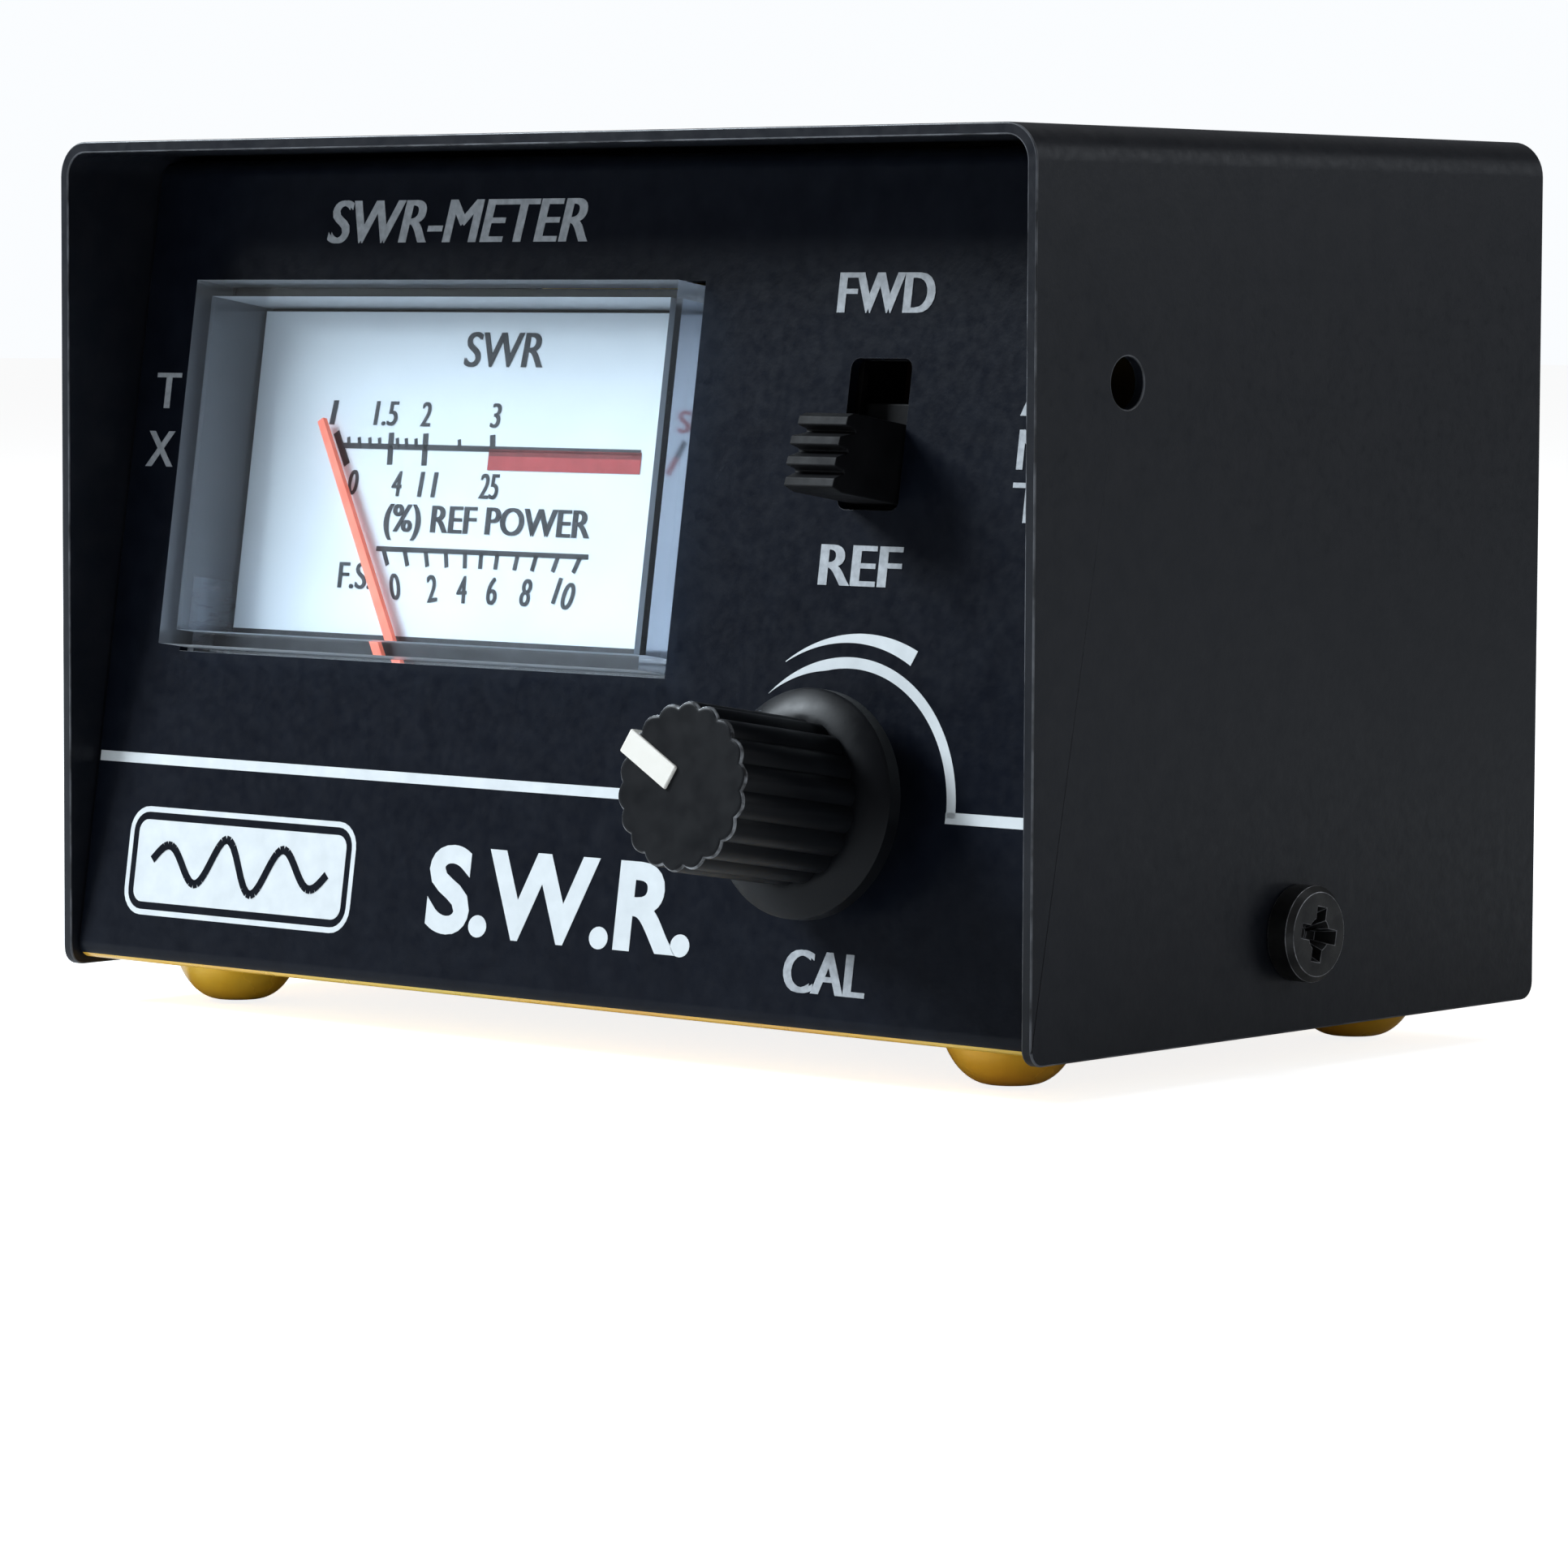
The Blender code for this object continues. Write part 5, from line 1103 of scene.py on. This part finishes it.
# %% The knob's rim, with a painted highlight
RIM_DEEP = 0.3          # the faces with the painted highlight lie this close to the front
RIM_INSIDE = 4.7        # and outside this radius
knob.data.materials.append(rim_painted_highlight)
to_knob = knob_place.inverted()
turned_by = to_knob.to_3x3().normalized()
highlit = 0
for face in knob.data.polygons:
    spot = to_knob @ face.center
    slopes = (turned_by @ face.normal).z < 0.95
    if spot.z > KNOB_FACE - RIM_DEEP and spot.xy.length > RIM_INSIDE and slopes:
        face.material_index = 1
        highlit += 1
print("worn faces:", highlit)

# %% The white pointer on the knob
MARKER_TURN = math.radians(61.5)
MARKER_HALF = 0.85
MARKER_LONG = 4.8
MARKER_TIP = 5.75       # just proud of the ridges
marker = cuboid((-MARKER_HALF, MARKER_TIP - MARKER_LONG, KNOB_FACE - 1.1),
                (MARKER_HALF, MARKER_TIP, KNOB_FACE + 0.2))
marker_made = loose("knob_pointer", marker, knob_place @ Matrix.Rotation(MARKER_TURN, 4, "Z"))
piece(edges(marker_made, 0.12, 3), marker_white, "control", ("knob_marker",))

# %% [markdown]
# ## Slide switch button
# A small moulded block with four ridges for a fingertip. Its outline is drawn from the side, ridge by
# ridge, and pulled out to the button's width, and then its edges are softened a little.

# %% The button's outline
SLIDER_WIDTH = 4.3
SLIDER_HEIGHT = 5.3
SLIDER_PROUD = 6.1
SLIDER_FOOT = -2.0
RIDGE_TOPS = (0.78, 0.26, -0.26, -0.78)     # as shares of half the height
RIDGE_HALF = 0.3
RIDGE_DEEP = 0.95
half = SLIDER_HEIGHT / 2
outline = [(-half, SLIDER_FOOT), (half, SLIDER_FOOT), (half, SLIDER_PROUD - 1.4)]
for index, share in enumerate(RIDGE_TOPS):
    crest = share * half
    top_at = SLIDER_PROUD - 0.75 * max(0.0, share + 0.2) ** 2     # the upper ridges are lower
    outline.append((crest + RIDGE_HALF, top_at - 0.12))
    outline.append((crest - RIDGE_HALF, top_at))
    if index < len(RIDGE_TOPS) - 1:
        outline.append((crest - 0.46, top_at - RIDGE_DEEP))
        outline.append((crest - 0.66, top_at - RIDGE_DEEP - 0.05))
outline.append((-half, SLIDER_PROUD - 1.0))
print("button's outline:", len(outline), "points")

# %% Making the button
SLIDER_REST = 38.5      # the button's middle, up the panel
SHOE_HALF = (3.2, 4.2)  # the shoe behind the panel, across and up
button = prism(outline, -SLIDER_WIDTH / 2, SLIDER_WIDTH / 2)
stand = Matrix(((0, 0, 1, CONTROL_X), (1, 0, 0, SLIDER_REST), (0, 1, 0, 0), (0, 0, 0, 1)))
button_made = loose("switch_button", button, ON_PANEL @ stand)
shoe = cuboid((CONTROL_X - SHOE_HALF[0], SLIDER_REST - SHOE_HALF[1], -4.5),
              (CONTROL_X + SHOE_HALF[0], SLIDER_REST + SHOE_HALF[1], -1.9))
cut(button_made, loose("shoe", shoe, ON_PANEL), operation="UNION")
piece(edges(button_made, 0.1, 2, 25), switch_black, "slider", ("switch_slider",),
      angle=24)

# %% [markdown]
# ## Coax sockets
# Each socket is a square flange with a threaded barrel. The thread is a row of ridges at the real
# pitch of the standard connector. The flange is drawn as a plate, the barrel is spun with its ridges
# in the outline, and the bore is cut through both.

# %% The threaded barrel
BARREL = 7.9            # radius over the thread
ROOT = BARREL - 0.55
BARREL_END = 14.5
THREAD_PITCH = 25.4 / 24


def barrel_outline():
    """From the mouth down over the ridges to the flange."""
    outline = [(0, BARREL_END), (BARREL - 0.7, BARREL_END), (ROOT, BARREL_END - 0.15)]
    height = BARREL_END - 0.5
    while height > 3.4:
        outline += [(BARREL, height), (BARREL, height - 0.12), (ROOT, height - THREAD_PITCH / 2),
                    (ROOT, height - THREAD_PITCH / 2 - 0.1)]
        height -= THREAD_PITCH
    return outline + [(BARREL - 0.4, 2.6), (BARREL - 0.4, 0.9), (0, 0.9)]


print("barrel's outline:", len(barrel_outline()), "points")

# %% Making both sockets
FLANGE_HALF = 12.7
FLANGE_BACK = 0.1
FLANGE_FACE = 1.7
RIVET_AT = 9.15         # across and up from the middle of the flange
socket_bore = [(0, 16), (6.2, 16), (6.2, 2.7), (4.6, 2.7), (4.6, -4), (0, -4)]
for side, tag in ((1, "tx"), (-1, "ant")):
    place = ON_REAR @ Matrix.Translation((side * SOCKET_APART, SOCKET_UP, 0))
    flange = cuboid((-FLANGE_HALF, -FLANGE_HALF, FLANGE_BACK),
                    (FLANGE_HALF, FLANGE_HALF, FLANGE_FACE))
    round_off(flange, corner_edges(flange, (0, 0, 1)), 2.0, 6)
    shell = loose("socket_shell_" + tag, flange, place)
    cut(shell, loose("barrel", spun(barrel_outline(), 72), place),
        loose("spigot", rod(5.6, -2.4, 1.0, 48), place), operation="UNION")
    rivet_holes = [loose("hole", rod(1.8, -4, 4, 20, (turn * RIVET_AT, turn * RIVET_AT)), place)
                   for turn in (-1, 1)]
    cut(shell, loose("socket_bore", spun(socket_bore, 48), place), *rivet_holes)
    piece(edges(shell, 0.08, 2, 50), nickel, instead=("socket_" + tag,), angle=40)

# %% [markdown]
# ## Finishes for the solids that stay
# The rest of the CAD solids already have the right shape. They get their finishes through their own
# material slots, and the wiring, the boards and the movement inside the case are covered too, because
# the cover comes off when the meter is serviced.

# %% Dressing the CAD nodes
DRESS = {
    dial_white: ["dial_plate"], pointer_red: ["needle"], moulded_black: ["meter_case"],
    iron: ["meter_yoke", "meter_core"], phenolic: ["switch_base"],
    board: ["control_board", "coupler_board"],
    insulator: ["socket_insulator_tx", "socket_insulator_ant"],
    diode_glass: ["diode_forward", "diode_reflected"],
    lacquer: ["resistor_forward", "resistor_reflected"], ceramic: ["bypass_capacitor"],
    copper: ["moving_coil", "through_line", "sense_line_forward", "sense_line_reflected"],
    nickel: ["rivet_tx_1", "rivet_tx_2", "rivet_ant_1", "rivet_ant_2"],
    steel: ["needle_staff", "rear_pivot", "meter_clip", "pot_body", "pot_shaft", "pot_nut"],
    black_oxide: ["switch_frame"],
    brass: ["meter_bridge", "hairspring", "rear_jewel_screw", "meter_terminal_plus",
            "meter_terminal_minus", "switch_terminal_1", "switch_terminal_2", "switch_terminal_3",
            "switch_contact", "pot_bushing", "pot_wiper", "pot_terminal_1", "pot_terminal_2",
            "pot_terminal_3", "socket_contact_tx", "socket_contact_ant"],
}
dressed = 0
for material, names in list(DRESS.items()) + [(wire_finish[name], [name]) for name in WIRES]:
    for name in names:
        node = frame["nodes"][name]
        node.data.materials.clear()
        node.data.materials.append(material)
        dressed += 1
print("CAD nodes dressed:", dressed)

# %% [markdown]
# ## Floor and light
# A plain pale floor under a white sky. One large soft lamp at the front left models the panel, a
# broad one overhead draws the bright line along the cover's fold, and a weak one at the right keeps
# the side from going flat.

# %% The floor
FLOOR_GLOW = 0.85       # the table is lit from below, as in a light tent
FLOOR_RADIUS = 6.0
FLOOR_DROP = 0.0002     # just under the feet, so their faces don't flicker
floor_shape = bmesh.new()
bmesh.ops.create_circle(floor_shape, cap_ends=True, segments=96, radius=FLOOR_RADIUS / MM)
bmesh.ops.translate(floor_shape, vec=(0, 0, -FLOOR_DROP / MM), verts=floor_shape.verts)
floor = loose("floor", floor_shape)
pale = finish("pale_floor", [(0.3, (0.86, 0.86, 0.86)), (0.7, (0.88, 0.88, 0.88))], (0.6, 0.7),
              400.0, 40.0, 0.01, 0.1)
tree = pale.node_tree
seen = tree.nodes.new("ShaderNodeLightPath")
backlit = tree.nodes.new("ShaderNodeMath")
backlit.operation = "MULTIPLY"
backlit.inputs[1].default_value = FLOOR_GLOW
tree.links.new(seen.outputs["Is Camera Ray"], backlit.inputs[0])
shader = tree.nodes["Principled BSDF"]
shader.inputs["Emission Color"].default_value = (1.0, 1.0, 1.0, 1.0)
tree.links.new(backlit.outputs["Value"], shader.inputs["Emission Strength"])
floor.data.materials.append(pale)
print("floor radius, m:", FLOOR_RADIUS)

# %% The lamps
LAMP_AIM = Vector((0, 0, 0.03))         # about the middle of the case


def soft_lamp(name, at, width, height, power, colour):
    """A rectangular soft box, aimed at the case."""
    lamp = bpy.data.lights.new(name, "AREA")
    lamp.shape = "RECTANGLE"
    lamp.size = width
    lamp.size_y = height
    lamp.energy = power
    lamp.color = colour
    made = bpy.data.objects.new(name, lamp)
    bpy.context.scene.collection.objects.link(made)
    made.location = at
    made.rotation_euler = (LAMP_AIM - Vector(at)).to_track_quat("-Z", "Y").to_euler()
    print(name, "at", at, power, "W")


soft_lamp("key_lamp", (-0.645, -0.419, 0.588), 0.32, 0.32, 12.6, (0.84, 0.93, 1.0))
soft_lamp("top_lamp", (0.1, 0.25, 0.8), 0.8, 0.5, 1.6, (0.9, 0.95, 1.0))
soft_lamp("side_lamp", (0.75, 0.7, 0.4), 0.6, 0.5, 1.4, (0.88, 0.94, 1.0))

# %% The white sky
world = bpy.data.worlds.new("white_sky")
world.use_nodes = True
tree = world.node_tree
SKY_GLOW = 0.12         # how strongly the sky lights the meter, and shows in its gloss
seen = tree.nodes.new("ShaderNodeLightPath")
strength = tree.nodes.new("ShaderNodeMapRange")
strength.inputs["To Min"].default_value = SKY_GLOW
strength.inputs["To Max"].default_value = 1.0
tree.links.new(seen.outputs["Is Camera Ray"], strength.inputs["Value"])
tree.links.new(strength.outputs["Result"], tree.nodes["Background"].inputs["Strength"])
tree.nodes["Background"].inputs["Color"].default_value = (0.96, 0.98, 1.0, 1.0)
bpy.context.scene.world = world
bpy.context.scene.view_settings.view_transform = "Standard"
print("sky, seen and lighting:", 1.0, SKY_GLOW)
